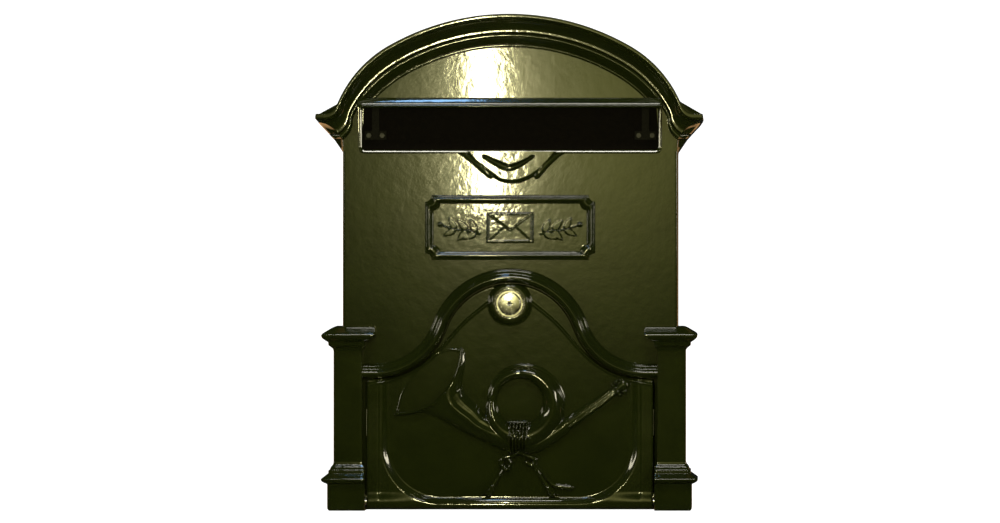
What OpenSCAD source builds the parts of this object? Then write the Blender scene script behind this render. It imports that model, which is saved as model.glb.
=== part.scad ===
// Arched wall mailbox in cast aluminium. A fixed front casting carries the letter slot, a drop-down door
// carries the lock, and both close a deep shell that is screwed to a flat back plate.
// Units are millimetres. The front faces -Y and the wall is the plane y = 0. Heights in the modules are
// measured up from the foot of the mailbox and depths out from the wall, and seat() moves each finished
// piece so that the origin is the middle of the four wall holes.

/* [Body] */
// Width between the two side faces
body_w = 280; // [278:1:282]
// Depth of the shell behind the front casting
shell_d = 94; // [94:1:104]
// Wall thickness of the shell
shell_t = 3.5; // [3:0.5:4]
// Wall thickness of the front casting
front_t = 4; // [4:0.5:5]

/* [Arch and cornice] */
// Radius of the crown of the roof
crown_r = 202.5; // [200:0.5:205]
// Height of the centre of the crown's curve
crown_z = 211.5; // [210:0.5:213]
// Angle from the middle of the crown to the start of each shoulder
crown_a = 29.7; // [29:0.1:31]
// Radius of each shoulder of the roof
shoulder_r = 100; // [98:1:102]
// Slope angle at which each shoulder turns out into the eaves
shoulder_a = 21.8; // [20:0.2:24]
// Radius of the hollow curve that carries the roof out to the tip of the eaves
flare_r = 16; // [14:1:18]
// How far the rim of the cornice stands out from the front wall
cornice_out = 20; // [18:1:22]
// How far the tip of the eaves stands out from the side wall
eaves_out = 21.5; // [19:0.5:23]

/* [Letter slot] */
// Clear width of the letter slot
slot_w = 247; // [230:1:248]
// Clear height of the letter slot
slot_h = 35; // [30:1:35]
// Height of the lower edge of the letter slot
slot_z = 301; // [300:1:302]
// Width of the bead round the slot
slot_bead = 3; // [2:0.5:3.5]
// How far the rain hood stands out from the front wall
hood_out = 16; // [12:1:18]
// Angle through which the inner flap swings
flap_swing = 75; // [60:1:80]

/* [Door] */
// Width of the door
door_w = 239; // [236:1:240]
// Thickness of the door's plate
door_t = 4; // [4:0.5:4.5]
// Gap between the door and the moulding above it
door_gap = 0.8; // [0.6:0.1:1.2]
// Radius of the rounded crest of the drip moulding
ogee_r = 62; // [61:0.5:63]
// Height of the centre of that crest
ogee_z = 133; // [132:0.5:134]
// Radius of the hollow part of the drip moulding
ogee_hollow_r = 58; // [57:0.5:59]
// Radius of the rolled lower edge of the door
roll_r = 6; // [5.5:0.1:6]
// Diameter of the door's hinge pins
pin_d = 5; // [4:0.5:5]

/* [Lock] */
// Height of the lock's centre
lock_z = 172.5; // [171:0.5:173]
// Diameter of the lock's threaded barrel
barrel_d = 19; // [18:0.5:19]
// Length of the cam from the lock's axis to its tip
cam_l = 38; // [36:1:40]
// Width of the cam
cam_w = 13; // [11:1:14]

/* [Pilasters] */
// Distance from the middle of the mailbox to a pilaster's inner face
pilaster_in = 123; // [122:0.5:124]
// Distance from the middle of the mailbox to a pilaster's outer face
pilaster_out = 147; // [146:0.5:148]
// Height of the bottom of a pilaster's plain shaft
shaft_low = 38; // [37:0.5:39]
// Height of the top of a pilaster's plain shaft
shaft_high = 134; // [133:0.5:135]

/* [Wall fixing] */
// Distance between the wall holes across the mailbox
wall_hole_x = 170; // [120:10:200]
// Distance between the wall holes up the mailbox
wall_hole_z = 200; // [160:10:200]
// Diameter of the wall holes
wall_hole_d = 6; // [5:0.5:8]
// Height of the middle of the wall holes
wall_mid_z = 150; // [140:5:160]

/* [Hidden] */
$fn = 48;
half_w = body_w / 2;
front_d = shell_d + front_t;
inner_w = half_w - shell_t;
tiny = 0.01;

// Roof curve
shoulder_c = [(crown_r - shoulder_r) * sin(crown_a), crown_z + (crown_r - shoulder_r) * cos(crown_a)];
flare_c = shoulder_c + (shoulder_r + flare_r) * [cos(shoulder_a), sin(shoulder_a)];
eaves_z = flare_c[1] - flare_r;
arc_n = 14;

// Section of the cornice, as [distance in from the rim, distance out from the wall face]
cove_r = 10.3;
cove_c = [14.4, 18.2];
bead_r = 2.3;
bead_c = [17.5, 5.3];
cornice_band = 26.5;
cornice_step = 2.8;
nose_h = 2.9;

// Rain hood
hood_half = slot_w / 2 + 2.5;
hood_top = slot_z + slot_h + 8;

// Planes of the moving pieces, as depths out from the wall
door_in = front_d;
door_out = door_in + door_t;
flange_out = door_in - 2.5;
flange_in = flange_out - 3;
flange_x = 112;
sill_top = 13;

// Door hinge
hinge_d = door_out + 2;
hinge_z = 7;
pin_r = pin_d / 2;
bush_r = pin_r + 2;
pin_in = 106;
pin_end = 131;
cheek_x = 120.6;
cheek_t = 6;
pocket_x = inner_w - 0.5;
pocket_low = 1.2;
pocket_high = 18;

// Lock
head_r = 11;
plug_face_r = 9.6;
plug_r = 6.5;
boss_out = door_out + 6;
boss_r = 17;
barrel_r = barrel_d / 2;
barrel_in = flange_in - 1.5;
nut_flats = 22;
nut_t = 5;
lock_washer_t = 0.8;
run = 0.05;
cam_t = 2.5;
cam_front = barrel_in - 0.2;
cam_back = cam_front - cam_t;
tail = 7;
spring_t = 0.8;
cam_screw_r = 2;
cam_head_h = 2.6;

// Letter flap
rod_r = 1.25;
rod_d = front_d - front_t - 2.4;
rod_z = slot_z + slot_h + 5.5;
rod_half = 126;
knuckle_r = 2.2;
leaf_out = rod_d + 0.3;
leaf_t = 1;
flap_out = leaf_out - leaf_t;
flap_t = 1;
flap_low = slot_z - 8;
flap_high = rod_z - 4.5;
flap_half = slot_w / 2 + 3;
strap_x = 113;
strap_w = 6;
foot_w = 18;
foot_z = 313;
foot_h = 7;
rivet_x = 5.6;
rivet_r = 1.2;

// Screws
screw_r = 2;
screw_head_r = 3.8;
screw_head_h = 2.4;
lug_t = 5;
lug_out = shell_d - 4;
front_screws = [[-131, 55], [131, 55], [-131, 240], [131, 240], [0, 399]];
back_screws = [[-131, 30], [131, 30], [-131, 155], [131, 155], [-131, 280], [131, 280], [0, 404]];
back_t = 2;
rear_flange_t = 3;
rear_flange_w = 9;

// Door stays, each an arm bent round the hinge axis
stay_r = 66;
stay_w = 6;
stay_t = 1.5;
stay_x = 118.5;
stay_low_a = -2;
stay_foot_x = 105;
stay_screw_x = 108.6;
stay_notch_x = 117;
stay_hook_x = 114.6;
stay_screw_r = 1.5;

green = [0.10, 0.17, 0.11];
steel = [0.72, 0.73, 0.74];
zinc = [0.62, 0.64, 0.66];
rubber = [0.08, 0.08, 0.08];
nylon = [0.86, 0.85, 0.80];

// ---------- Points and helpers ----------

// Points along an arc about c, from angle a0 to angle a1
function arc_pts(c, r, a0, a1, n = arc_n) =
    [for (i = [0:n]) c + r * [cos(a0 + (a1 - a0) * i / n), sin(a0 + (a1 - a0) * i / n)]];

// The same points seen from the other side
function mirrored(pts) = [for (i = [len(pts) - 1:-1:0]) [-pts[i][0], pts[i][1]]];

// Crown and right shoulder of the roof, moved in by d
function arch_pts(d) =
    concat(arc_pts([0, crown_z], crown_r - d, 90, 90 - crown_a),
           arc_pts(shoulder_c, shoulder_r - d, 90 - crown_a, shoulder_a));

// Section of the cornice from its rim to the plain wall
function cornice_pts() =
    concat([[0, cornice_out], [nose_h, cornice_out]],
           arc_pts(cove_c, cove_r, 180, 270, 8),
           arc_pts(bead_c, bead_r, 180, 0, 8),
           [[bead_c[0] + bead_r, cornice_step], [cornice_band, cornice_step], [cornice_band, 0]]);

// Right-hand side of the eaves, from the tip of the roof down to the side wall
function eaves_pts() =
    [for (q = cornice_pts()) [half_w + q[1] * eaves_out / cornice_out, eaves_z - q[0]]];

// Drip moulding's centre line, moved up by off, from the right-hand end to the left-hand end
ogee_end_a = acos((ogee_z - 115.3) / (ogee_r + ogee_hollow_r) * -1 + ogee_hollow_r / (ogee_r + ogee_hollow_r));
ogee_c2 = [(ogee_r + ogee_hollow_r) * sin(ogee_end_a), ogee_z + (ogee_r + ogee_hollow_r) * cos(ogee_end_a)];
function ogee_half(off) =
    concat(arc_pts(ogee_c2, ogee_hollow_r - off, 270, 270 - ogee_end_a, 10),
           arc_pts([0, ogee_z], ogee_r + off, 90 - ogee_end_a, 90, 14));
function ogee_low(off) = ogee_c2[1] - ogee_hollow_r + off;

// Moves a finished piece from the foot of the mailbox to the middle of the wall holes
module seat() {
    translate([0, 0, -wall_mid_z]) children();
}

// Extrudes an outline drawn as [x, height] between two depths
module slab(a, b) {
    translate([0, -a, 0]) rotate([90, 0, 0]) linear_extrude(b - a) children();
}

// Round post between two depths
module post(r, a, b) {
    translate([0, -a, 0]) rotate([90, 0, 0]) cylinder(r = r, h = b - a);
}

// Round bar along X
module bar(r, x0, x1) {
    translate([x0, 0, 0]) rotate([0, 90, 0]) cylinder(r = r, h = x1 - x0);
}

// Both the piece and its mirror image across the middle
module both() {
    children();
    mirror([1, 0, 0]) children();
}

// Upright bar drawn as a box between two corners, given as [x, depth, height]
module block(p, q) {
    translate([p[0], -q[1], p[2]]) cube([q[0] - p[0], q[1] - p[1], q[2] - p[2]]);
}

// ---------- Outlines ----------

// Whole outline of the shell: side walls, eaves and roof
module shell_outline() {
    right = concat(arch_pts(0), arc_pts(flare_c, flare_r, 180 + shoulder_a, 270, 8),
                   eaves_pts(), [[half_w, 0]]);
    polygon(concat(mirrored(right), right));
}

// Inside of the shell, moved in from its walls by d
module shell_inside(d) {
    w = inner_w - d;
    arch = [for (q = arch_pts(shell_t + 1.5 + d)) if (q[0] < w) q];
    top = shoulder_c[1] + sqrt(pow(shoulder_r - shell_t - 1.5 - d, 2) - pow(w - shoulder_c[0], 2));
    right = concat(arch, [[w, top], [w, shell_t + d]]);
    polygon(concat(mirrored(right), right));
}

// Everything below the drip moulding and between two upright edges
module under_ogee(off, w, low) {
    half = ogee_half(off);
    curve = [for (q = half) if (q[0] < w) q];
    right = concat([[w, low], [w, ogee_low(off)]], curve);
    polygon(concat(right, mirrored(right)));
}

// ---------- Front casting ----------

// Everything inside a line that runs round the roof at a distance d in from the rim
module inside_rim(d) {
    far = half_w + 2 * eaves_out;
    right = concat(arch_pts(d), arc_pts(flare_c, flare_r + d, 180 + shoulder_a, 270, 8),
                   [[far, eaves_z - d], [far, -1]]);
    polygon(concat(mirrored(right), right));
}

// Part of the cornice between two distances in from the rim
module cornice_ring(d0, d1) {
    difference() {
        shell_outline();
        inside_rim(d1);
        if (d0 > 0) difference() {
            translate([-body_w, -2]) square([2 * body_w, crown_z + crown_r + 4]);
            inside_rim(d0);
        }
    }
}

// The cornice is built up in layers out from the wall, each cut back to the hollow of the section
cove_steps = 6;
cornice_layer = (cove_c[1] - cornice_step) / cove_steps;
function cove_at(p) = p > cove_c[1] ? nose_h : cove_c[0] - sqrt(max(0, pow(cove_r, 2) - pow(cove_c[1] - p, 2)));
module cornice() {
    slab(shell_d, front_d + cornice_step) cornice_ring(0, cornice_band);
    for (i = [0:cove_steps - 1]) {
        p0 = cornice_step + i * cornice_layer;
        slab(front_d + p0 - tiny, front_d + p0 + cornice_layer)
            cornice_ring(0, min(cove_at(p0 + cornice_layer / 2), bead_c[0] - bead_r - 0.6));
    }
    slab(front_d + cove_c[1] - tiny, front_d + cornice_out) cornice_ring(0, nose_h);
    for (f = [0.35, 0.75, 1])
        slab(front_d + cornice_step - tiny, front_d + bead_c[1] + f * bead_r)
            cornice_ring(bead_c[0] - bead_r * cos(asin(f * 0.85)), bead_c[0] + bead_r * cos(asin(f * 0.85)));
}

module front_wall() {
    slab(shell_d, front_d) {
        right = concat(arch_pts(13), [[shoulder_c[0] + (shoulder_r - 13) * cos(shoulder_a), slot_z]]);
        polygon(concat(mirrored(right), right));
        translate([-half_w, 0]) square([body_w, eaves_z + 8]);
    }
}

module slot_hole() {
    translate([-slot_w / 2, slot_z]) square([slot_w, slot_h]);
}

module slot_frame() {
    slab(front_d - tiny, front_d + 2.5)
        difference() {
            translate([-hood_half, slot_z - slot_bead]) square([2 * hood_half, slot_h + 2 * slot_bead]);
            slot_hole();
        }
    // Rain hood with a sloping top
    lip = slot_z + slot_h + 0.7;
    translate([-hood_half, 0, 0]) rotate([90, 0, 90]) linear_extrude(2 * hood_half)
        polygon([[-front_d + tiny, hood_top], [-front_d - hood_out, lip + 3], [-front_d - hood_out, lip],
                 [-front_d + tiny, lip]]);
}

// Swag under the slot: two slanting rolls and a drape between them
module swag() {
    intersection() {
        union() {
            both() translate([29, -front_d, slot_z - 12]) rotate([0, -40, 0]) bar(5.5, -14, 15);
            translate([0, -front_d, slot_z - 19]) sphere(r = 9.5);
            both() translate([9, -front_d, slot_z - 12]) rotate([0, -50, 0]) bar(4.5, -9, 11);
        }
        block([-60, front_d - tiny, slot_z - 40], [60, front_d + 8, slot_z - 1]);
    }
}

// Raised plaque with scooped corners and a plain emblem of a letter
plaque_w = 142;
plaque_h = 54;
plaque_z = 236;
module plaque_outline(d) {
    w = plaque_w / 2 - d;
    h = plaque_h / 2 - d;
    difference() {
        square([2 * w, 2 * h], center = true);
        for (sx = [-1, 1], sz = [-1, 1]) translate([sx * plaque_w / 2, sz * plaque_h / 2]) circle(r = 5 + d);
    }
}

module plaque() {
    translate([0, 0, plaque_z]) {
        slab(front_d - tiny, front_d + 2) plaque_outline(0);
        slab(front_d + 2 - tiny, front_d + 4.5)
            difference() {
                plaque_outline(1.5);
                plaque_outline(6);
            }
        // Letter
        slab(front_d + 2 - tiny, front_d + 3.5) square([42, 26], center = true);
        slab(front_d + 3.5 - tiny, front_d + 4.3) polygon([[-21, 13], [21, 13], [0, -3]]);
    }
}

// Drip moulding over the door, built up in layers of [lower edge, upper edge, height of the layer]
ogee_layers = [[-5, 5.5, 5], [-4.3, 4.4, 7], [-3.2, 1.8, 8.2], [-1.8, 0.8, 9.2]];
module ogee_moulding() {
    for (q = ogee_layers)
        slab(shell_d, front_d + q[2]) difference() {
            under_ogee(q[1], pilaster_in + 1, ogee_low(-20));
            under_ogee(q[0], pilaster_in + 2, ogee_low(-21));
        }
}

// One block of a pilaster, wrapped round the corner of the body by the same amount on each face
module pilaster_block(out, in, z0, z1) {
    x1 = pilaster_out + out;
    x0 = pilaster_in - in;
    wrap = front_d + 9 - (pilaster_out - pilaster_in);
    block([x0, shell_d, z0], [x1, front_d + 9 + out, z1]);
    block([half_w, wrap - out, z0], [x1, front_d + 9 + out, z1]);
}

// Sloped moulding between two sizes of block
module pilaster_slope(out0, out1, in0, in1, z0, z1) {
    steps = 4;
    for (i = [0:steps - 1]) {
        f = (i + 0.5) / steps;
        pilaster_block(out0 + (out1 - out0) * f, in0 + (in1 - in0) * f,
                       z0 + (z1 - z0) * i / steps, z0 + (z1 - z0) * (i + 1) / steps + tiny);
    }
}

module pilaster() {
    pilaster_block(0, 0, shaft_low - tiny, shaft_high + tiny);
    // Base, from the floor up
    pilaster_block(5, pilaster_in - cheek_x, 0, 22.6);
    pilaster_slope(7, 10, pilaster_in - cheek_x, pilaster_in - cheek_x, 22.6, 26.5);
    pilaster_slope(10, 5, pilaster_in - cheek_x, 2, 26.5, 31);
    pilaster_block(4, 2, 31, 34);
    pilaster_slope(3.5, 1, 1.5, 0.5, 34, shaft_low);
    // Capital
    pilaster_slope(1, 3.5, 0.5, 2, shaft_high, 137.5);
    pilaster_block(4, 3, 137.5, 141);
    pilaster_slope(6, 10, 4, 10, 141, 146.5);
    pilaster_slope(9, 1, 12, 14, 146.5, 154);
}

// Stop flange behind the edges of the door, with the sill that closes the foot
module stop_flange() {
    difference() {
        union() {
            slab(flange_in, flange_out) difference() {
                under_ogee(8, pocket_x, shell_t + 0.3);
                under_ogee(-12, flange_x, sill_top);
            }
            block([-pocket_x, shell_d, 0], [pocket_x, front_d - 1.2, sill_top]);
        }
        // Clearance round the nut of the lock
        translate([0, 0, lock_z]) post(15, flange_in - 1, flange_out + 1);
        // Notches that let the door stays through
        both() block([stay_notch_x, flange_in - 1, hinge_z + 60.4], [cheek_x, flange_out + 1, hinge_z + 70]);
    }
}

module flap_lugs() {
    difference() {
        both() block([rod_half - 6, rod_d - 2.4, rod_z - 2.6], [rod_half - 1.5, shell_d + tiny, rod_z + 4]);
        translate([0, -rod_d, rod_z]) bar(rod_r, -rod_half, rod_half);
    }
}

module front_casting() {
    color(green) seat() difference() {
        union() {
            difference() {
                union() {
                    front_wall();
                    slot_frame();
                }
                slab(shell_d - 1, front_d + 3) slot_hole();
                slab(shell_d - 1, front_d + 1) under_ogee(0, pilaster_in, -1);
            }
            difference() {
                cornice();
                // The slot, its bead and the hood interrupt the inner bands of the cornice
                block([-hood_half, shell_d - 1, slot_z - slot_bead], [hood_half, front_d + 30, hood_top]);
            }
            swag();
            plaque();
            ogee_moulding();
            both() pilaster();
            stop_flange();
            flap_lugs();
            for (q = front_screws) translate([q[0], 0, q[1]]) post(5, lug_out, shell_d + tiny);
        }
        // Threaded holes for the screws that hold the shell
        for (q = front_screws) translate([q[0], 0, q[1]]) post(screw_r, lug_out - 1, lug_out + 6.5);
        // Hinge pockets and the holes for the bushes
        both() {
            block([cheek_x + cheek_t, flange_in - 1, pocket_low], [pocket_x - 0.5, hinge_d + 6, pocket_high]);
            translate([0, -hinge_d, hinge_z]) bar(bush_r, cheek_x - 1, cheek_x + cheek_t + 1);
        }
    }
}

// ---------- Shell and back plate ----------

module body_shell() {
    color(green) seat() difference() {
        union() {
            slab(0, shell_d) difference() {
                shell_outline();
                shell_inside(0);
            }
            // Rear flange for the back plate
            slab(back_t, back_t + rear_flange_t) difference() {
                shell_inside(-tiny);
                shell_inside(rear_flange_w);
            }
            // Lugs for the screws into the front casting
            both() for (q = front_screws) if (q[0] > 0)
                block([q[0] - 5, lug_out - lug_t, q[1] - 6], [inner_w + 1, lug_out, q[1] + 6]);
            block([-6, lug_out - lug_t, 393], [6, lug_out, 411]);
        }
        for (q = front_screws) translate([q[0], 0, q[1]]) post(screw_r, lug_out - lug_t - 1, lug_out + 1);
        for (q = back_screws) translate([q[0], 0, q[1]]) post(screw_r, back_t - 1, back_t + rear_flange_t + 1);
    }
}

module back_plate() {
    color(zinc) seat() difference() {
        slab(0, back_t) shell_inside(0.4);
        for (sx = [-1, 1], sz = [-1, 1])
            translate([sx * wall_hole_x / 2, 0, wall_mid_z + sz * wall_hole_z / 2])
                post(wall_hole_d / 2, -1, back_t + 1);
        for (q = back_screws) translate([q[0], 0, q[1]]) post(screw_r, -1, back_t + 1);
    }
}

// Pan-head screw whose head sits at depth a on its inner side and whose tip is at depth b
module pan_screw(a, b) {
    post(screw_r, min(a, b), max(a, b));
    difference() {
        if (b > a) post(screw_head_r, a - screw_head_h, a);
        else post(screw_head_r, a, a + screw_head_h);
        // Cross recess
        recess = b > a ? a - screw_head_h : a + screw_head_h;
        for (t = [0, 90]) translate([0, -recess, 0]) rotate([0, t, 0]) cube([4.4, 2.4, 0.9], center = true);
    }
}

module front_casting_screws() {
    color(steel) seat() for (q = front_screws)
        translate([q[0], 0, q[1]]) pan_screw(lug_out - lug_t, lug_out + 5.5);
}

module back_plate_screws() {
    color(steel) seat() for (q = back_screws)
        translate([q[0], 0, q[1]]) pan_screw(back_t + rear_flange_t, 0.2);
}

// ---------- Door ----------

module door_outline() {
    under_ogee(-5 - door_gap, door_w / 2, hinge_z);
}

// Raised post horn, drawn as flat layers and a round coil
horn_c = [11, 87];
coil_r = 27.5;
tube_r = 7.5;
module horn() {
    intersection() {
        union() {
            translate([horn_c[0], -door_out, horn_c[1]]) rotate([90, 0, 0])
                rotate_extrude() translate([coil_r, 0]) circle(r = tube_r);
            // Bell
            translate([-14, -door_out, 62]) rotate([0, 39, 0]) rotate([0, -90, 0])
                cylinder(r1 = 9, r2 = 16, h = 34);
            translate([-40, -door_out, 84]) rotate([0, 39, 0]) rotate([0, -90, 0])
                cylinder(r1 = 16, r2 = 35, h = 26);
            // Mouth tube
            translate([horn_c[0], -door_out, horn_c[1] - coil_r + 5]) rotate([0, -29, 0]) bar(5, 10, 84);
            translate([horn_c[0], -door_out, horn_c[1] - coil_r + 5]) rotate([0, -29, 0]) bar(7, 78, 86);
            // Cord binding and tassels
            translate([7, -door_out, 61]) rotate([90, 0, 0]) cylinder(r = 13, h = 9);
            both() translate([6, -door_out, 42]) rotate([0, 60, 0]) bar(3.5, 0, 26);
        }
        block([-110, door_out - tiny, 10], [110, door_out + 9, 140]);
    }
}

module door_casting() {
    bore = pin_in - 1;
    color(green) seat() difference() {
        union() {
            slab(door_in, door_out) door_outline();
            // Rolled lower edge round the hinge pins
            translate([0, -hinge_d, hinge_z]) bar(roll_r, -door_w / 2, door_w / 2);
            // Raised frame
            slab(door_out - tiny, door_out + 1.2) difference() {
                under_ogee(-9, door_w / 2 - 3, hinge_z + roll_r);
                under_ogee(-16, door_w / 2 - 13, hinge_z + roll_r + 6);
            }
            // Lock boss
            translate([0, 0, lock_z]) post(boss_r, door_in, boss_out);
            horn();
        }
        translate([0, 0, lock_z]) post(barrel_r, door_in - 1, boss_out + 1);
        both() translate([0, -hinge_d, hinge_z]) bar(pin_r, bore, door_w / 2 + 1);
        both() for (dz = [-6, 6]) translate([stay_screw_x, 0, hinge_z + stay_r + dz])
            post(stay_screw_r, door_in - 1, door_in + 3);
    }
}

module hinge_pin(s) {
    groove = cheek_x + cheek_t + 1.2;
    color(steel) seat() translate([0, -hinge_d, hinge_z]) mirror([s > 0 ? 0 : 1, 0, 0]) difference() {
        bar(pin_r, pin_in, pin_end);
        difference() {
            bar(pin_r + 1, groove, groove + 0.9);
            bar(pin_r - 0.5, groove - 1, groove + 2);
        }
    }
}

module door_hinge_pin_left() {
    hinge_pin(-1);
}

module door_hinge_pin_right() {
    hinge_pin(1);
}

module hinge_bush(s) {
    color(nylon) seat() translate([0, -hinge_d, hinge_z]) mirror([s > 0 ? 0 : 1, 0, 0]) difference() {
        union() {
            bar(bush_r, cheek_x, cheek_x + cheek_t);
            bar(bush_r + 1, cheek_x + cheek_t, cheek_x + cheek_t + 1);
        }
        bar(pin_r + run, cheek_x - 1, cheek_x + cheek_t + 2);
    }
}

module door_hinge_bush_left() {
    hinge_bush(-1);
}

module door_hinge_bush_right() {
    hinge_bush(1);
}

// Open retaining rings that sit in the grooves of the pins
module door_hinge_clips() {
    groove = cheek_x + cheek_t + 1.25;
    color(steel) seat() both() translate([0, -hinge_d, hinge_z]) difference() {
        bar(pin_r + 2.2, groove, groove + 0.8);
        bar(pin_r - 0.5, groove - 1, groove + 2);
        translate([groove - 1, -1.4, -pin_r - 4]) cube([3, 2.8, pin_r + 4]);
    }
}

// Rubber buttons on the stop flange
module door_bumpers() {
    color(rubber) seat() both() for (z = [32, 98]) translate([115.5, 0, z]) post(3, flange_out, door_in);
}

// Arm bent round the hinge axis, with a foot on the door and a hook that stops it at the flange
module door_stay(s) {
    color(zinc) seat() mirror([s > 0 ? 0 : 1, 0, 0]) {
        difference() {
            union() {
                // Arm
                translate([stay_x, -hinge_d, hinge_z]) rotate([90, 0, 90]) rotate([0, 0, stay_low_a])
                    rotate_extrude(angle = 84 - stay_low_a, $fn = 96)
                        translate([stay_r - stay_w / 2, 0]) square([stay_w, stay_t]);
                // Hook
                translate([stay_hook_x, -hinge_d, hinge_z]) rotate([stay_low_a, 0, 0])
                    translate([0, stay_r - stay_w / 2, 0]) cube([stay_x - stay_hook_x + stay_t, stay_w, stay_t]);
                // Foot
                block([stay_foot_x, door_in - stay_t, hinge_z + stay_r - 11],
                      [stay_x + stay_t, door_in, hinge_z + stay_r + 11]);
            }
            for (dz = [-6, 6]) translate([stay_screw_x, 0, hinge_z + stay_r + dz])
                post(stay_screw_r, door_in - 3, door_in + 1);
        }
    }
}

module door_stay_left() {
    door_stay(-1);
}

module door_stay_right() {
    door_stay(1);
}

module door_stay_screws() {
    color(steel) seat() both() for (dz = [-6, 6])
        translate([stay_screw_x, 0, hinge_z + stay_r + dz]) {
            post(stay_screw_r, door_in - stay_t, door_in + 2.6);
            post(2.8, door_in - stay_t - 1.8, door_in - stay_t);
        }
}

// ---------- Lock ----------

module at_lock() {
    seat() translate([0, 0, lock_z]) children();
}

module lock_housing() {
    color(steel) at_lock() difference() {
        union() {
            post(head_r, boss_out, boss_out + 2.2);
            post(barrel_r, barrel_in, boss_out);
        }
        post(plug_r + run, barrel_in - 1, boss_out + 3);
        post(plug_face_r + run, boss_out + 0.4, boss_out + 3);
    }
}

module lock_escutcheon() {
    color(steel) at_lock() difference() {
        union() {
            post(head_r + 1.6, boss_out, boss_out + 1.8);
            post(head_r + 1.1, boss_out + 1.8 - tiny, boss_out + 2.6);
        }
        post(head_r + 0.1, boss_out - 1, boss_out + 4);
    }
}

module lock_plug() {
    color(steel) at_lock() difference() {
        union() {
            post(plug_face_r, boss_out + 0.5, boss_out + 2.8);
            post(plug_r, barrel_in, boss_out + 0.5);
            block([-tail / 2, cam_back, -tail / 2], [tail / 2, barrel_in + tiny, tail / 2]);
        }
        // Keyway
        block([-0.7, boss_out - 8, -3.2], [0.7, boss_out + 4, 3.2]);
        block([-1.3, boss_out - 8, -0.6], [1.3, boss_out + 4, 2.2]);
        // Thread for the cam screw
        post(cam_screw_r, cam_back - 1, cam_back + 8);
    }
}

module lock_washer() {
    color(zinc) at_lock() difference() {
        post(barrel_r + 4, door_in - lock_washer_t, door_in);
        post(barrel_r + 0.2, door_in - 3, door_in + 1);
    }
}

module lock_nut() {
    back = door_in - lock_washer_t;
    color(zinc) at_lock() difference() {
        translate([0, -back + nut_t, 0]) rotate([90, 0, 0])
            cylinder(d = nut_flats / cos(30), h = nut_t, $fn = 6);
        post(barrel_r, back - nut_t - 1, back + 1);
    }
}

module lock_cam() {
    color(zinc) at_lock() slab(cam_back, cam_front) difference() {
        union() {
            circle(r = 8);
            translate([-cam_w / 2, -cam_l + cam_w / 2]) square([cam_w, cam_l - cam_w / 2]);
            translate([0, -cam_l + cam_w / 2]) circle(r = cam_w / 2);
        }
        square(tail + 0.1, center = true);
    }
}

module cam_spring_washer() {
    color(steel) at_lock() difference() {
        post(5.2, cam_back - spring_t, cam_back);
        post(cam_screw_r + 0.1, cam_back - 2, cam_back + 1);
    }
}

module cam_screw() {
    front = cam_back - spring_t;
    color(steel) at_lock() {
        post(cam_screw_r, front - tiny, cam_back + 7);
        difference() {
            post(4, front - cam_head_h, front);
            for (t = [0, 90]) translate([0, -(front - cam_head_h), 0]) rotate([0, t, 0])
                cube([4.6, 2.4, 1], center = true);
        }
    }
}

// ---------- Letter flap ----------

module flap_plate() {
    color(steel) seat() difference() {
        block([-flap_half, flap_out - flap_t, flap_low], [flap_half, flap_out, flap_high]);
        both() for (dx = [-rivet_x, rivet_x]) translate([strap_x + dx, 0, foot_z])
            post(rivet_r, flap_out - 3, flap_out + 1);
    }
}

// Strap with a rolled knuckle at the top and a wide foot
module flap_strap(s) {
    color(zinc) seat() mirror([s > 0 ? 0 : 1, 0, 0]) difference() {
        union() {
            translate([0, -rod_d, rod_z]) bar(knuckle_r, strap_x - strap_w / 2, strap_x + strap_w / 2);
            block([strap_x - strap_w / 2, flap_out, foot_z], [strap_x + strap_w / 2, leaf_out, rod_z]);
            block([strap_x - foot_w / 2, flap_out, foot_z - foot_h / 2],
                  [strap_x + foot_w / 2, leaf_out, foot_z + foot_h / 2]);
        }
        translate([0, -rod_d, rod_z]) bar(rod_r + run, strap_x - foot_w, strap_x + foot_w);
        for (dx = [-rivet_x, rivet_x]) translate([strap_x + dx, 0, foot_z])
            post(rivet_r, flap_out - 3, leaf_out + 1);
    }
}

module flap_strap_left() {
    flap_strap(-1);
}

module flap_strap_right() {
    flap_strap(1);
}

module flap_rivets() {
    color(steel) seat() both() for (dx = [-rivet_x, rivet_x]) translate([strap_x + dx, 0, foot_z]) {
        post(rivet_r, flap_out - flap_t - 0.8, leaf_out + 0.8);
        post(2, leaf_out, leaf_out + 0.9);
        post(2, flap_out - flap_t - 0.9, flap_out - flap_t);
    }
}

module flap_hinge_rod() {
    color(steel) seat() translate([0, -rod_d, rod_z]) bar(rod_r, -rod_half, rod_half);
}

// Push-on retaining caps at the ends of the rod
module flap_rod_clips() {
    color(steel) seat() both() translate([0, -rod_d, rod_z]) difference() {
        bar(2.3, rod_half - 1.4, rod_half + 0.8);
        bar(rod_r, rod_half - 3, rod_half);
    }
}

// Rubber buttons that the flap rests on
module flap_bumpers() {
    color(rubber) seat() both() translate([70, 0, flap_low + 3.6]) post(3, flap_out, shell_d);
}

front_casting();
body_shell();
back_plate();
front_casting_screws();
back_plate_screws();
door_casting();
door_hinge_pin_left();
door_hinge_pin_right();
door_hinge_bush_left();
door_hinge_bush_right();
door_hinge_clips();
door_bumpers();
door_stay_left();
door_stay_right();
door_stay_screws();
lock_housing();
lock_escutcheon();
lock_washer();
lock_nut();
lock_plug();
lock_cam();
cam_spring_washer();
cam_screw();
flap_plate();
flap_strap_left();
flap_strap_right();
flap_rivets();
flap_hinge_rod();
flap_rod_clips();
flap_bumpers();
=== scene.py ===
import math

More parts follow.
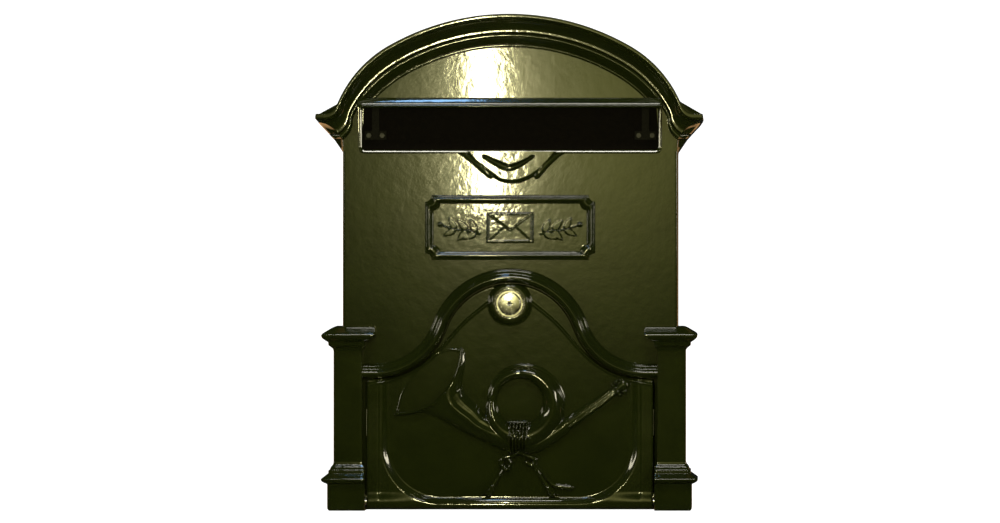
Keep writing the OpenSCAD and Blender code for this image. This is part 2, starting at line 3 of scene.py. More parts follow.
import bmesh
import bpy
import numpy as np
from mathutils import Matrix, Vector


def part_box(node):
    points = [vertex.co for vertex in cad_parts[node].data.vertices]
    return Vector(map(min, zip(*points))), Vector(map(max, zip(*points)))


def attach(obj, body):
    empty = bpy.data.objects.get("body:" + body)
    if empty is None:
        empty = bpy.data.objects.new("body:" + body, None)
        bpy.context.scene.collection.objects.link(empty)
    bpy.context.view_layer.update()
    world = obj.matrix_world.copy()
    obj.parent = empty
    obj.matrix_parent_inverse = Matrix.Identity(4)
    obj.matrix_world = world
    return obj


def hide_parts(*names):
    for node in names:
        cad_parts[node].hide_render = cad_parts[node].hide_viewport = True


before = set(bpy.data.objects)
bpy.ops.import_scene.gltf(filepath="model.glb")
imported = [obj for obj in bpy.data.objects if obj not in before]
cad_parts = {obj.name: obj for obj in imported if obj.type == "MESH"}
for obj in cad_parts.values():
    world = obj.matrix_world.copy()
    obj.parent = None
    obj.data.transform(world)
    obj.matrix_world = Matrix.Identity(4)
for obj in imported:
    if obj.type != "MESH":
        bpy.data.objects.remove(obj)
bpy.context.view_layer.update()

# Lengths are millimetres until a mesh is made: x across, d depth out from the wall, h height above the
# foot. FOOT itself is in the frame's metres.
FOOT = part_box("front_casting")[0].z
HALF_W = 140.0
WALL_D = 98.0
SHELL_D = 94.0
INNER_W = 136.5
CROWN_R, CROWN_Z, CROWN_A = 202.5, 211.5, math.radians(29.7)
SH_R, SH_A = 100.0, math.radians(21.8)
SH_C = ((CROWN_R - SH_R) * math.sin(CROWN_A), CROWN_Z + (CROWN_R - SH_R) * math.cos(CROWN_A))
FL_R = 11.0
FL_C = (SH_C[0] + (SH_R + FL_R) * math.cos(SH_A), SH_C[1] + (SH_R + FL_R) * math.sin(SH_A))
SLOT_HALF, SLOT_LOW, SLOT_HIGH = 123.5, 301.0, 336.0
OGEE_R, OGEE_Z, HOLLOW_R, OGEE_END = 62.0, 133.0, 58.0, 115.3
OGEE_A = math.acos((HOLLOW_R - (OGEE_Z - OGEE_END)) / (OGEE_R + HOLLOW_R))
OGEE_C = ((OGEE_R + HOLLOW_R) * math.sin(OGEE_A), OGEE_Z + (OGEE_R + HOLLOW_R) * math.cos(OGEE_A))
LOCK_H = 172.5
DOOR_HALF = 119.5
DOOR_IN, DOOR_FACE = 98.0, 102.0
PLAQUE_W, PLAQUE_H, PLAQUE_Z = 142.0, 54.0, 236.0
SLOT_END = 126.8
WALL_TOP = 299.5


# ---------- small helpers ----------

def waves(p, size, seed, count=26):
    """Smooth random field of about unit height at points p, with features of the given size."""
    rs = np.random.RandomState(seed)
    k = rs.normal(size=(count, 3))
    k /= np.linalg.norm(k, axis=1)[:, None]
    k *= (2 * np.pi / size) * rs.uniform(0.55, 1.5, size=(count, 1))
    return np.sin(p @ k.T + rs.uniform(0, 2 * np.pi, count)).sum(1) / math.sqrt(count / 2)


def soften(corners, steps=4, closed=False):
    """Polyline from corners (a, b) or (a, b, r): each corner with an r becomes a small curve."""
    pts = []
    n = len(corners)
    for i, c in enumerate(corners):
        p = np.array(c[:2], float)
        r = c[2] if len(c) > 2 else 0
        if r == 0 or (not closed and i in (0, n - 1)):
            pts.append(p)
            continue
        a = np.array(corners[i - 1][:2], float) - p
        b = np.array(corners[(i + 1) % n][:2], float) - p
        la, lb = np.linalg.norm(a), np.linalg.norm(b)
        t = min(r, 0.48 * la, 0.48 * lb)
        s, e = p + a / la * t, p + b / lb * t
        for u in np.linspace(0, 1, steps + 1):
            pts.append((1 - u) ** 2 * s + 2 * u * (1 - u) * p + u * u * e)
    return np.array(pts)


def arc(c, r, a0, a1, n):
    """n points on a circle round c, from angle a0 to a1."""
    a = np.linspace(a0, a1, n)
    return np.stack([c[0] + r * np.cos(a), c[1] + r * np.sin(a)], 1)


def spline(pts, n=8):
    """Smooth curve through points of any dimension."""
    p = np.array(pts, float)
    q = np.vstack([2 * p[0] - p[1], p, 2 * p[-1] - p[-2]])
    out = []
    for i in range(1, len(q) - 2):
        for t in np.linspace(0, 1, n, endpoint=False):
            out.append(0.5 * ((2 * q[i]) + (-q[i - 1] + q[i + 1]) * t
                              + (2 * q[i - 1] - 5 * q[i] + 4 * q[i + 1] - q[i + 2]) * t ** 2
                              + (-q[i - 1] + 3 * q[i] - 3 * q[i + 1] + q[i + 2]) * t ** 3))
    out.append(p[-1])
    return np.array(out)


def ridge(X, H, path, flat=1.0):
    """Height of a rounded bar along path, whose points are (x, h, half width, height)."""
    out = np.zeros_like(X)
    for a, b in zip(path[:-1], path[1:]):
        dx, dh = b[0] - a[0], b[1] - a[1]
        l2 = dx * dx + dh * dh + 1e-9
        reach = max(a[2], b[2])
        m = ((X > min(a[0], b[0]) - reach) & (X < max(a[0], b[0]) + reach)
             & (H > min(a[1], b[1]) - reach) & (H < max(a[1], b[1]) + reach))
        if not m.any():
            continue
        x, h = X[m], H[m]
        t = np.clip(((x - a[0]) * dx + (h - a[1]) * dh) / l2, 0, 1)
        u = np.hypot(x - a[0] - t * dx, h - a[1] - t * dh) / (a[2] + (b[2] - a[2]) * t)
        z = (a[3] + (b[3] - a[3]) * t) * np.sqrt(np.clip(1 - u ** 2, 0, 1)) ** flat
        out[m] = np.maximum(out[m], z)
    return out


def over(z, X, H, *paths):
    """Heights z with a rounded bar laid over them along each path."""
    for path in paths:
        z = np.maximum(z, ridge(X, H, path))
    return z


def smooth(u):
    """Smooth step from 0 to 1."""
    u = np.clip(u, 0, 1)
    return u * u * (3 - 2 * u)


def curve(x, *points):
    """Value at x on straight lines between points (x, value)."""
    return np.interp(x, *zip(*points))


def even(line, n):
    """n points at equal steps along a polyline."""
    seg = np.concatenate([[0], np.cumsum(np.hypot(*np.diff(line, axis=0).T))])
    u = np.linspace(0, seg[-1], n)
    return np.column_stack([np.interp(u, seg, line[:, 0]), np.interp(u, seg, line[:, 1])])


class Shape:
    """Collects grids and faces in millimetres, then makes one mesh object of them."""

    def __init__(self):
        self.v, self.f, self.n = [], [], 0

    def points(self, p):
        """Adds points (x, d, h) and gives their numbers."""
        p = np.asarray(p, float).reshape(-1, 3)
        self.v.append(p)
        i = np.arange(self.n, self.n + len(p))
        self.n += len(p)
        return i

    def grid(self, x, d, h, wrap_v=False):
        """Quads over a two-way table of points; wrap_v joins its last column to the first."""
        x, d, h = np.broadcast_arrays(x, d, h)
        i = self.points(np.stack([x, d, h], -1)).reshape(x.shape)
        if wrap_v:
            i = np.hstack([i, i[:, :1]])
        q = np.stack([i[:-1, :-1], i[1:, :-1], i[1:, 1:], i[:-1, 1:]], -1).reshape(-1, 4)
        self.f.extend(q.tolist())

    def face(self, p):
        self.f.append(self.points(p).tolist())

    def skin(self, rows, wrap_v=False):
        """Surface over rows with the same number of points (x, d, h)."""
        a = np.array(rows, float)
        self.grid(a[:, :, 0], a[:, :, 1], a[:, :, 2], wrap_v=wrap_v)

    def lump(self, lo, hi, r):
        """Rounded block between two corners."""
        (x0, d0, h0), (x1, d1, h1) = lo, hi
        levels = [(r, h0), (r * 0.3, h0 + r * 0.3), (0, h0 + r)]
        levels += [(c, h1 - (h - h0)) for c, h in levels[::-1]]
        rows = []
        for c, h in levels:
            corners = [(x0 + c, d0 + c, r), (x1 - c, d0 + c, r), (x1 - c, d1 - c, r), (x0 + c, d1 - c, r)]
            p = soften(corners, 3, closed=True)
            rows.append(np.column_stack([p, np.full(len(p), h)]))
        self.skin(rows, wrap_v=True)
        self.face(rows[0])
        self.face(rows[-1])

    def lathe(self, profile, at, n, axis_d=False):
        """Turned form: profile of (radius, along) round an X axis or a depth axis through at."""
        p = np.array(profile, float)
        a = np.linspace(0, 2 * np.pi, n, endpoint=False)
        r, s = p[:, 0][:, None], p[:, 1][:, None] + 0 * a[None]
        if axis_d:
            self.grid(at[0] + r * np.cos(a), s, at[1] + r * np.sin(a), wrap_v=True)
        else:
            self.grid(s, at[0] + r * np.cos(a), at[1] + r * np.sin(a), wrap_v=True)

    def make(self, name, body, slot, material, nodes=(), sharp=38, uneven=0.0, seed=1, size=11.0):
        """One object riding on a body, in place of CAD nodes, with cast unevenness in mm; its slot argument
        is not used.
        """
        v = np.vstack(self.v)
        co = np.column_stack([v[:, 0], -v[:, 1], v[:, 2]]) / 1000
        co[:, 2] += FOOT
        mesh = bpy.data.meshes.new(name)
        mesh.from_pydata(co.tolist(), [], self.f)
        bm = bmesh.new()
        bm.from_mesh(mesh)
        bmesh.ops.remove_doubles(bm, verts=bm.verts, dist=2e-6)
        bmesh.ops.dissolve_degenerate(bm, edges=bm.edges, dist=1e-7)
        bmesh.ops.recalc_face_normals(bm, faces=bm.faces)
        bm.to_mesh(mesh)
        bm.free()
        if uneven:
            n = len(mesh.vertices)
            p = np.empty(n * 3, np.float32)
            q = np.empty(n * 3, np.float32)
            mesh.vertices.foreach_get("co", p)
            mesh.vertices.foreach_get("normal", q)
            p, q = p.reshape(-1, 3).astype(float), q.reshape(-1, 3)
            w = waves(p * 1000, size, seed) * uneven
            w += waves(p * 1000, size * 0.45, seed + 5) * uneven * 0.35
            mesh.vertices.foreach_set("co", (p + q * (w / 1000)[:, None]).astype(np.float32).ravel())
        mesh.polygons.foreach_set("use_smooth", [True] * len(mesh.polygons))
        mesh.update()
        mesh.set_sharp_from_angle(angle=math.radians(sharp))
        ob = bpy.data.objects.new(name, mesh)
        bpy.context.scene.collection.objects.link(ob)
        mesh.materials.append(material)
        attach(ob, body)
        if nodes:
            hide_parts(*nodes)


# ---------- outlines ----------

def arch(d, x_end, n=(46, 60, 16)):
    """Right half of the roof line moved in by d: crown, shoulder and flare, out to x_end."""
    a = arc((0, CROWN_Z), CROWN_R - d, math.pi / 2, math.pi / 2 - CROWN_A, n[0])[:-1]
    u = np.linspace(0, 1, n[1])
    b = arc(SH_C, SH_R - d * (1 - 0.24 * u ** 2), math.pi / 2 - CROWN_A, SH_A, n[1])[:-1]
    r = FL_R + d
    end = 1.5 * math.pi
    u = np.linspace(0, 1, n[2])
    drop = 0.3 * d * np.array([math.sin(SH_A), -math.cos(SH_A)])
    if x_end < FL_C[0]:
        end = 2 * math.pi - math.acos(max(-1.0, (x_end - FL_C[0] - drop[0]) / r))
    c = arc(FL_C + drop, FL_R + d * (1 - 0.24 * (1 - u) ** 2), math.pi + SH_A, end, n[2])
    tail = np.column_stack([np.linspace(c[-1, 0], max(x_end, c[-1, 0]), 4)[1:], [c[-1, 1]] * 3])
    return np.vstack([a, b, c, tail])


def both_sides(p):
    """A right half that starts on the middle line, with its mirror image before it."""
    m = p[:0:-1].copy()
    m[:, 0] *= -1
    return np.vstack([m, p])


def arch_at(d, x):
    """Height of the roof line moved in by d, at distance x from the middle."""
    line = arch(d, 159)
    return np.interp(np.abs(x), line[:, 0], line[:, 1])


def ogee(off, x_end, n=(50, 40)):
    """Right half of the drip moulding's line moved up by off, from the middle out to x_end."""
    a = arc((0, OGEE_Z), OGEE_R + off, math.pi / 2, math.pi / 2 - OGEE_A, n[0])[:-1]
    b = arc(OGEE_C, HOLLOW_R - off, 1.5 * math.pi - OGEE_A, 1.5 * math.pi, n[1])
    p = np.vstack([a, b])
    if x_end > p[-1, 0]:
        return np.vstack([p, np.column_stack([np.linspace(p[-1, 0], x_end, 6)[1:], [p[-1, 1]] * 5])])
    return p


def ogee_at(off, x):
    """Height of the drip moulding's line moved up by off, at distance x from the middle."""
    line = ogee(off, 170)
    return np.interp(np.abs(x), line[:, 0], line[:, 1])


# Section of the cornice: distance in from the rim, distance out from the wall face
CORNICE = np.vstack([
    soften([(0, 19.0), (0, 20, 0.9), (2.9, 20, 0.6), (4.1, 18.2)], 4),
    arc((14.4, 18.2), 10.3, math.pi, 1.5 * math.pi, 16)[1:],
    arc((17.6, 5.4), 2.2, 0.92 * math.pi, 0.22 * math.pi, 12),
    soften([(20.4, 5.8), (24.9, 1.0, 0.6), (25.2, 1.9, 0.3), (26.3, 1.9, 0.5), (26.7, 0.2, 0.4),
            (27.8, -0.1)], 4)])


def mitre(d):
    """Where the cornice turns the corner: x of the front's edge, x of the side's line, height."""
    x = curve(d, (0, 160.6), (0.8, 161.5), (3.2, 161.5), (4.1, 160.4), (6.1, 154.2), (8.5, 150.2),
              (10.7, 147.4), (14, 144.4), (16.7, 142.6), (19.6, 140.6), (27.8, 139.5))
    wide = curve(d, (0, 160.6), (0.8, 161.5), (3.2, 161.5), (4.1, 161.0), (27.8, 140.3))
    return x, max(x, wide), arch(d, x)[-1, 1]


# ---------- materials ----------

def fill(t, n, inputs):
    """Fills inputs of a node, each with a value or with a link from an output."""
    for name, value in inputs.items():
        if isinstance(value, bpy.types.NodeSocket):
            t.links.new(value, n.inputs[name])
        else:
            n.inputs[name].default_value = value


def node(t, kind, inputs, operation=None):
    n = t.nodes.new("ShaderNode" + kind)
    if operation:
        n.operation = operation
    fill(t, n, inputs)
    return n


def blank_material(name):
    m = bpy.data.materials.new(name)
    m.use_nodes = True
    m.node_tree.nodes.clear()
    return m, m.node_tree


def new_material(name):
    """Material, its node tree, its shader and the object's coordinates."""
    m, t = blank_material(name)
    b = node(t, "BsdfPrincipled", {})
    node(t, "OutputMaterial", {"Surface": b.outputs[0]})
    return m, t, b, node(t, "TexCoord", {}).outputs["Object"]


def noise(t, at, scale, detail=2.0, rough=0.5, stretch=None):
    if stretch:
        at = node(t, "Mapping", {"Vector": at, "Scale": stretch}).outputs[0]
    n = node(t, "TexNoise", {"Vector": at, "Scale": scale, "Detail": detail, "Roughness": rough})
    return n.outputs["Fac"]


def ramp(t, fac, *stops):
    """Colours at stops (place, colour) along fac."""
    r = node(t, "ValToRGB", {0: fac})
    for k, (p, c) in zip(r.color_ramp.elements, stops):
        k.position = p
        k.color = (*c, 1)
    return r.outputs[0]


def grey(v):
    return (v, v, v)


def bump(t, b, *layers):
    """Bump layers of (height, strength, distance) on the shader's normal; gives the last one back."""
    last = None
    for height, strength, distance in layers:
        k = node(t, "Bump", {"Height": height, "Strength": strength, "Distance": distance})
        if last:
            fill(t, k, {"Normal": last})
        last = k.outputs[0]
    fill(t, b, {"Normal": last})
    return last


def green_coat(name, peel=1.0, rough=0.0):
    """Gloss powder coat over cast metal: deep green, orange peel, a little dust in the hollows."""
    m, t, b, at = new_material(name)
    tone = noise(t, at, 34, 3, 0.55)
    green = ramp(t, tone, (0.3, (0.0100, 0.0146, 0.0024)), (0.7, (0.0145, 0.0204, 0.0034)))
    ao = node(t, "AmbientOcclusion", {"Distance": 0.004})
    ao.samples = 4
    hollow = ramp(t, ao.outputs["AO"], (0.35, grey(0.30)), (0.75, grey(0.0)))
    mix = t.nodes.new("ShaderNodeMix")
    mix.data_type = "RGBA"
    fill(t, mix, {0: hollow, 6: green, 7: (0.016, 0.014, 0.005, 1)})
    dull = ramp(t, noise(t, at, 60, 4, 0.6), (0.3, grey(0.13 + rough)), (0.7, grey(0.17 + rough)))
    coarse, fine = noise(t, at, 150, 2), noise(t, at, 520, 2)
    skin = bump(t, b, (coarse, 0.05 * peel, 0.0012), (fine, 0.04 * peel, 0.0004))
    fill(t, b, {"Base Color": mix.outputs[2], "Roughness": dull, "Specular IOR Level": 0.14,
                "Coat Weight": 1.0, "Coat Roughness": 0.07, "Coat IOR": 1.5, "Coat Normal": skin})
    return m


def metal(name, colour, rough, grain, spots=0.0, scale=300):
    """Bare or plated metal with fine scratches or turning marks and slight staining."""
    m, t, b, at = new_material(name)
    dark = tuple(c * (0.78 - spots * 0.3) for c in colour)
    tone = ramp(t, noise(t, at, 90, 4, 0.6), (0.32, dark), (0.62, colour))
    lines = noise(t, at, scale, 3, 0.6, grain)
    worn = ramp(t, lines, (0.3, grey(rough * 0.75)), (0.7, grey(rough * 1.35)))
    fill(t, b, {"Base Color": tone, "Metallic": 1.0, "Roughness": worn})
    bump(t, b, (lines, 0.12, 0.0002))
    return m


def plated(name):
    """Zinc plate with its faint crystal pattern."""
    m, t, b, at = new_material(name)
    v = node(t, "TexVoronoi", {"Vector": at, "Scale": 130})
    crystals = ramp(t, v.outputs["Color"], (0.2, (0.36, 0.37, 0.38)), (0.9, (0.56, 0.57, 0.57)))
    dull = ramp(t, noise(t, at, 220, 3), (0.3, grey(0.32)), (0.7, grey(0.48)))
    fill(t, b, {"Base Color": crystals, "Metallic": 1.0, "Roughness": dull})
    bump(t, b, (v.outputs["Distance"], 0.08, 0.0002))
    return m


def plain(name, a, c, r0, r1, scale, depth, soft=0.0, shine=0.5):
    """Dull even surface with a fine skin: plastic, rubber or a satin coat."""
    m, t, b, at = new_material(name)
    tone = ramp(t, noise(t, at, scale * 0.25, 3), (0.3, a), (0.7, c))
    skin = noise(t, at, scale, 3, 0.6)
    worn = ramp(t, skin, (0.3, grey(r0)), (0.7, grey(r1)))
    fill(t, b, {"Base Color": tone, "Roughness": worn, "Specular IOR Level": shine})
    if soft:
        fill(t, b, {"Subsurface Weight": soft, "Subsurface Scale": 0.002})
    bump(t, b, (skin, depth, 0.0003))
    return m


GREEN = green_coat("green_powder_coat")
GREEN_CAST = green_coat("green_powder_coat_cast", peel=0.9, rough=0.02)
GREEN_FIELD = green_coat("green_powder_coat_field", peel=1.1, rough=0.03)
NICKEL = metal("polished_nickel", (0.50, 0.49, 0.43), 0.22, (1, 1, 1), 0.2, 240)
STEEL = metal("turned_stainless", (0.62, 0.61, 0.60), 0.27, (1, 14, 14))
ZINC = metal("bright_zinc", (0.66, 0.66, 0.62), 0.34, (1, 1, 1), 0.4)
PLATED = plated("zinc_plated_sheet")
# Dark coat for the flap's straps, made near black as painted shade of the slot they sit in.
FLAP_STRAP_SHADED = plain("dark_strap_painted_shade", (0.002, 0.002, 0.001), (0.004, 0.004, 0.002), 0.5, 0.65, 800, 0.12,
              shine=0.10)
# Rivet heads, dark partly from their own finish and partly as painted shade of the slot.
FLAP_RIVET_SHADED = plain("dark_rivet_painted_shade", (0.012, 0.012, 0.010), (0.03, 0.03, 0.025), 0.35, 0.5, 800, 0.12, shine=0.3)
NYLON = plain("natural_nylon", (0.70, 0.68, 0.60), (0.80, 0.78, 0.71), 0.42, 0.55, 700, 0.1, 0.1)
RUBBER = plain("black_rubber", (0.012, 0.012, 0.012), (0.03, 0.03, 0.029), 0.75, 0.9, 900, 0.25)
# Dark coat for the flap sheet, made near black as painted shade of the slot it hangs in.
FLAP_SHEET_SHADED = plain("dark_sheet_painted_shade", (0.0015, 0.001, 0.0006), (0.003, 0.002, 0.0012), 0.55, 0.7, 800, 0.12,
              shine=0.05)


# ---------- front casting ----------

def cornice():
    """Mouldings along the roof's edge, with the roof surface behind them."""
    s = Shape()
    rows = []
    for d, p in CORNICE:
        x, wide, h = mitre(d)
        line = arch(d, x)
        line = np.where((line[:, 0] > x - 1.0)[:, None], [[x - 1.0, h]], line)
        depth = np.full(len(line), WALL_D + p)
        if d > 19.6:
            fade = np.where(line[:, 0] > 90, smooth((line[:, 1] - 340.5) / 3.5), 1.0)
            depth = WALL_D - 0.3 + (p + 0.3) * fade
        front = np.column_stack([line[:, 0], depth, line[:, 1]])
        edge = depth[-1]
        turn = [(x - 0.7, edge, h), (x - 0.2, edge - 0.2, h), (x, edge - 0.7, h)]
        back = [(x + (wide - x) * k, q, h)
                for k, q in zip((0.75, 1, 1, 1, 1, 1), np.linspace(edge - 3, SHELL_D + 0.15, 6))]
        rows.append(np.vstack([front, turn, back]))
    a = np.array(rows)
    full = np.concatenate([a[:, :0:-1] * [-1, 1, 1], a], 1)
    s.skin(full)
    # Open over the slot: the mouldings stop against its bead
    low, high = 297.6, 344.0
    v = np.vstack(s.v)
    hole = (np.abs(v[:, 0]) < SLOT_END) & (v[:, 2] > low) & (v[:, 2] < high) & (v[:, 1] > WALL_D - 1)
    s.f = [f for f in s.f if not all(hole[i] for i in f)]
    near = hole & (np.abs(v[:, 0]) > 122)
    v[near, 0] = np.sign(v[near, 0]) * SLOT_END
    s.v = [v]
    rim = arch(0, 159)
    z = np.linspace(296, high, 90)
    gap = np.array([np.hypot(rim[:, 0] - SLOT_END, rim[:, 1] - q).min() for q in z])
    out = WALL_D + np.interp(gap, CORNICE[:, 0], CORNICE[:, 1])
    for sx in (-1, 1):
        s.grid(sx * SLOT_END, np.stack([np.full(90, WALL_D - 0.3), out]), z[None])
    # Roof surface back to the joint with the shell
    top = full[0][6:-6]
    q = np.linspace(0, 1, 10)[:, None]
    depth = top[None, :, 1] * (1 - q) + (SHELL_D + 0.15) * q
    s.grid(np.repeat(top[None, :, 0], 10, 0), depth, np.repeat(top[None, :, 2], 10, 0))
    return s


def front_wall(s_wall, s_tymp):
    """Flat faces of the front: around the slot, behind the cornice and down to the drip moulding."""
    # Tympanum above the slot
    x = np.linspace(-121, 121, 243)
    top = arch_at(25.3, x)
    low = np.minimum(338, top - 1.5)
    t = np.linspace(0, 1, 76)[:, None]
    s_tymp.grid(np.repeat(x[None], 76, 0), WALL_D, low + (top - low) * t)
    # Strips at the ends of the slot
    for sx in (-1, 1):
        x = np.linspace(SLOT_HALF + 1, HALF_W - 0.6, 14)
        top = arch_at(19.4, x)
        t = np.linspace(0, 1, 30)[:, None]
        s_wall.grid(np.repeat(sx * x[None], 30, 0), WALL_D, WALL_TOP + (top - WALL_TOP) * t)
    # Lower wall, down to the drip moulding, and the rounded corners of the body
    edge = soften([(0, WALL_D), (HALF_W, WALL_D, 1.6), (HALF_W, SHELL_D + 0.2)], 6)
    x = np.concatenate([np.linspace(0, 138.2, 150)[:-1], edge[1:, 0]])
    d = np.concatenate([np.full(149, WALL_D), edge[1:, 1]])
    x = np.concatenate([-x[:0:-1], x])
    d = np.concatenate([d[:0:-1], d])
    low = np.where(np.abs(x) < 128, ogee_at(3.5, x), 100.0)
    t = np.linspace(0, 1, 110)[:, None]
    s_wall.grid(np.repeat(x[None], 110, 0), np.repeat(d[None], 110, 0), low + (WALL_TOP - low) * t)
    for sx in (-1, 1):
        e = edge[1:]
        z = np.linspace(WALL_TOP, 330, 12)[:, None]
        s_wall.grid(np.repeat(sx * e[None, :, 0], 12, 0), np.repeat(e[None, :, 1], 12, 0),
                    np.repeat(z, len(e), 1))


def slot_frame():
    """Bead and wall of the letter slot, with the rain hood over it."""
    s = Shape()
    # Bead round the slot with the wall of the slot behind it
    lip = soften([(3.2, 0), (2.9, 2.5, 0.7), (2.0, 2.6, 0.3), (0.3, 1.66, 0.35), (0.0, 0.9, 0.3),
                  (0.0, -4, 0.5), (2.0, -4.02)], 4)
    prof = np.vstack([[(3.4, -0.4)], lip]) + [0, WALL_D]
    rows = []
    for o, d in prof:
        w, lo, hi = SLOT_HALF + o, SLOT_LOW - o, SLOT_HIGH + o
        p = soften([(-w, lo, 2.2 + o), (w, lo, 2.2 + o), (w, hi, 2.2 + o), (-w, hi, 2.2 + o)], 5, closed=True)
        q = []
        for a, b in zip(p, np.roll(p, -1, 0)):
            k = 40 if abs(a[0] - b[0]) > 50 else 1
            q += [a + (b - a) * i / k for i in range(k)]
        q = np.array(q)
        rows.append(np.column_stack([q[:, 0], np.full(len(q), d), q[:, 1]]))
    s.skin(rows, wrap_v=True)
    # Rain hood: section of (depth, height), drawn in at its ends
    sec = soften([(-0.5, 344.6), (10.4, 343.9, 0.9), (13.9, 339.5, 0.9), (14.3, 338.3, 0.5), (16, 337.7, 0.6),
                  (16, 336.7, 0.5), (14.8, 336.4, 0.5), (3, 337.2, 0.8), (-0.5, 337.2)], 4) + [WALL_D, 0]
    mid = np.array([WALL_D + 7, 340.0])
    loops = []
    for x, k in [(-127.2, 0.0), (-127.2, 0.80), (-126.9, 0.93), (-126.2, 0.985), (-125.4, 1.0)]:
        c = mid + (sec - mid) * k
        loops.append((x, c))
    loops += [(x, sec) for x in np.linspace(-120, 120, 60)]
    loops += [(-x, c) for x, c in loops[4::-1]]
    s.skin([np.column_stack([np.full(len(c), x), c]) for x, c in loops], wrap_v=True)
    return s


def swag(X, H):
    """Height of the swag under the slot over the wall."""
    # Cloth hanging between the rolls, with a V-shaped fold across it
    low = 272.4 + 5.4 * ((X - 1.4) / 17) ** 2
    left, right = 279.4 - 0.742 * (X + 16.6), 279.4 + 0.867 * (X - 22.4)
    edge = np.minimum(H - low, np.minimum((H - left) * 0.8, (H - right) * 0.76))
    cloth = 4.6 * np.sqrt(np.clip(1 - (1 - np.clip(edge / 3.8, 0, 1)) ** 2, 0, 1))
    fold = [(-21.6, 295.4, 1.8, 2.4), (-8.4, 288.6, 3.0, 3.4), (0.4, 286.0, 3.0, 3.6),
            (11.4, 290.4, 2.2, 2.8), (19.1, 295.4, 1.4, 1.8)]
    z = np.where(edge > 0, np.maximum(cloth - ridge(X, H, spline(fold, 6)), 0.6), 0.0)
    # Slanting rolls at both sides
    left_roll = [(-44, 299.5, 1.6, 1.2), (-38, 296.8, 2.4, 2.6), (-27, 288.6, 3.0, 4.2),
                 (-19, 281.6, 3.2, 5.0), (-16.4, 279.2, 2.8, 4.6)]
    right_roll = [(46, 299.5, 1.6, 1.2), (40, 296.8, 2.4, 2.6), (31, 289.5, 3.0, 4.2),
                  (24.6, 282.2, 3.2, 5.0), (22.2, 279.2, 2.8, 4.6)]
    for p in (left_roll, right_roll):
        z = np.maximum(z, ridge(X, H, spline(p, 6), 0.6))
    return z


def relief_patch(fn, x0, x1, h0, h1, step, base):
    """Relief fn(X, H) as a height grid over the depth base."""
    s = Shape()
    nx, nh = int((x1 - x0) / step) + 1, int((h1 - h0) / step) + 1
    X, H = np.meshgrid(np.linspace(x0, x1, nx), np.linspace(h0, h1, nh))
    s.grid(X, base + fn(X, H), H)
    return s


def plaque_loop(d):
    """Outline of the plaque moved in by d, with scooped corners."""
    w, h, r, quarter = PLAQUE_W / 2 - d, PLAQUE_H / 2 - d, 5.6, math.pi / 2
    scoops = [arc((cx, cz), r, a + quarter, a, 9)
              for cx, cz, a in ((w, h, math.pi), (-w, h, 1.5 * math.pi), (-w, -h, 0), (w, -h, quarter))]
    out = []
    for i, c in enumerate(scoops):
        k = 24 if i in (0, 2) else 9
        straight = np.linspace(c[-1], scoops[(i + 1) % 4][0], k + 1)[1:-1]
        out += [c, straight]
    return np.vstack(out)


def leaf(X, Y, at, turn, size):
    """Flat-topped pointed leaf that starts at a point and lies along the angle turn."""
    half = size * 0.55
    x, y = X - (at[0] + math.cos(turn) * half), Y - (at[1] + math.sin(turn) * half)
    along = x * math.cos(turn) + y * math.sin(turn)
    across = -x * math.sin(turn) + y * math.cos(turn)
    width = size * 0.23 * np.clip(1.05 - along / size, 0.35, 1.4)
    return 2.1 * smooth((1 - (along / half) ** 2 - (across / width) ** 2) * 2.6)


def emblem(X, H):
    """Plain envelope between two sprigs, in relief on the plaque."""
    z = np.zeros_like(X)
    Y = H - PLAQUE_Z
    # Envelope with a rounded edge, its flap and its two lower folds
    box = np.maximum(np.abs(X) - 19.0, np.abs(Y) - 12.2)
    z = np.maximum(z, 1.9 * smooth(-box / 1.3 + 0.5))
    flap = [(-18.4, 11.8, 1.3, 2.9), (0, -2.2, 1.3, 2.9), (18.4, 11.8, 1.3, 2.9)]
    folds = [[(sx * 18.4, -11.8, 1.0, 2.5), (sx * 4.6, 1.0, 1.0, 2.5)] for sx in (-1, 1)]
    z = np.where(box < 0.4, over(z, X, Y, flap, *folds), z)
    rim = np.abs(box + 0.9)
    z = np.maximum(z, np.where(rim < 1.0, 1.5 + 1.0 * np.sqrt(np.clip(1 - rim ** 2, 0, 1)), 0))
    # Sprigs
    for sx in (-1, 1):
        stem = spline([(sx * 25.5, -5.5, 0.8, 1.2), (sx * 34, -2.5, 0.8, 1.5),
                       (sx * 44, -2.0, 0.8, 1.5), (sx * 55.5, 1.5, 0.6, 1.0)], 6)
        z = over(z, X, Y, stem)
        for i in range(3):
            u = (i + 0.5) / 3.4
            j = int(u * (len(stem) - 1))
            a, b = stem[j], stem[min(j + 2, len(stem) - 1)]
            t = math.atan2(b[1] - a[1], b[0] - a[0])
            for side in (-1, 1):
                z = np.maximum(z, leaf(X, Y, a, t + side * sx * 0.80, 12.0 * (1 - 0.2 * u)))
        bud = ((X - sx * 58.2) ** 2 + (Y - 2.6) ** 2) / 2.2 ** 2
        z = np.maximum(z, 2.0 * np.sqrt(np.clip(1 - bud, 0, 1)))
    return z


def plaque():
    s = Shape()
    prof = soften([(-0.2, -0.5), (0.0, 1.5, 0.7), (0.9, 2.2, 0.6), (1.6, 2.3, 0.4), (2.2, 3.9, 0.7),
                   (3.4, 4.6, 0.9), (4.8, 3.9, 0.8), (5.7, 1.9, 0.6), (6.8, 1.2, 0.8), (9.0, 1.1)], 3)
    rows = []
    for d, out in prof:
        p = plaque_loop(d)
        rows.append(np.column_stack([p[:, 0], np.full(len(p), WALL_D + out), p[:, 1] + PLAQUE_Z]))
    s.skin(rows, wrap_v=True)
    return s


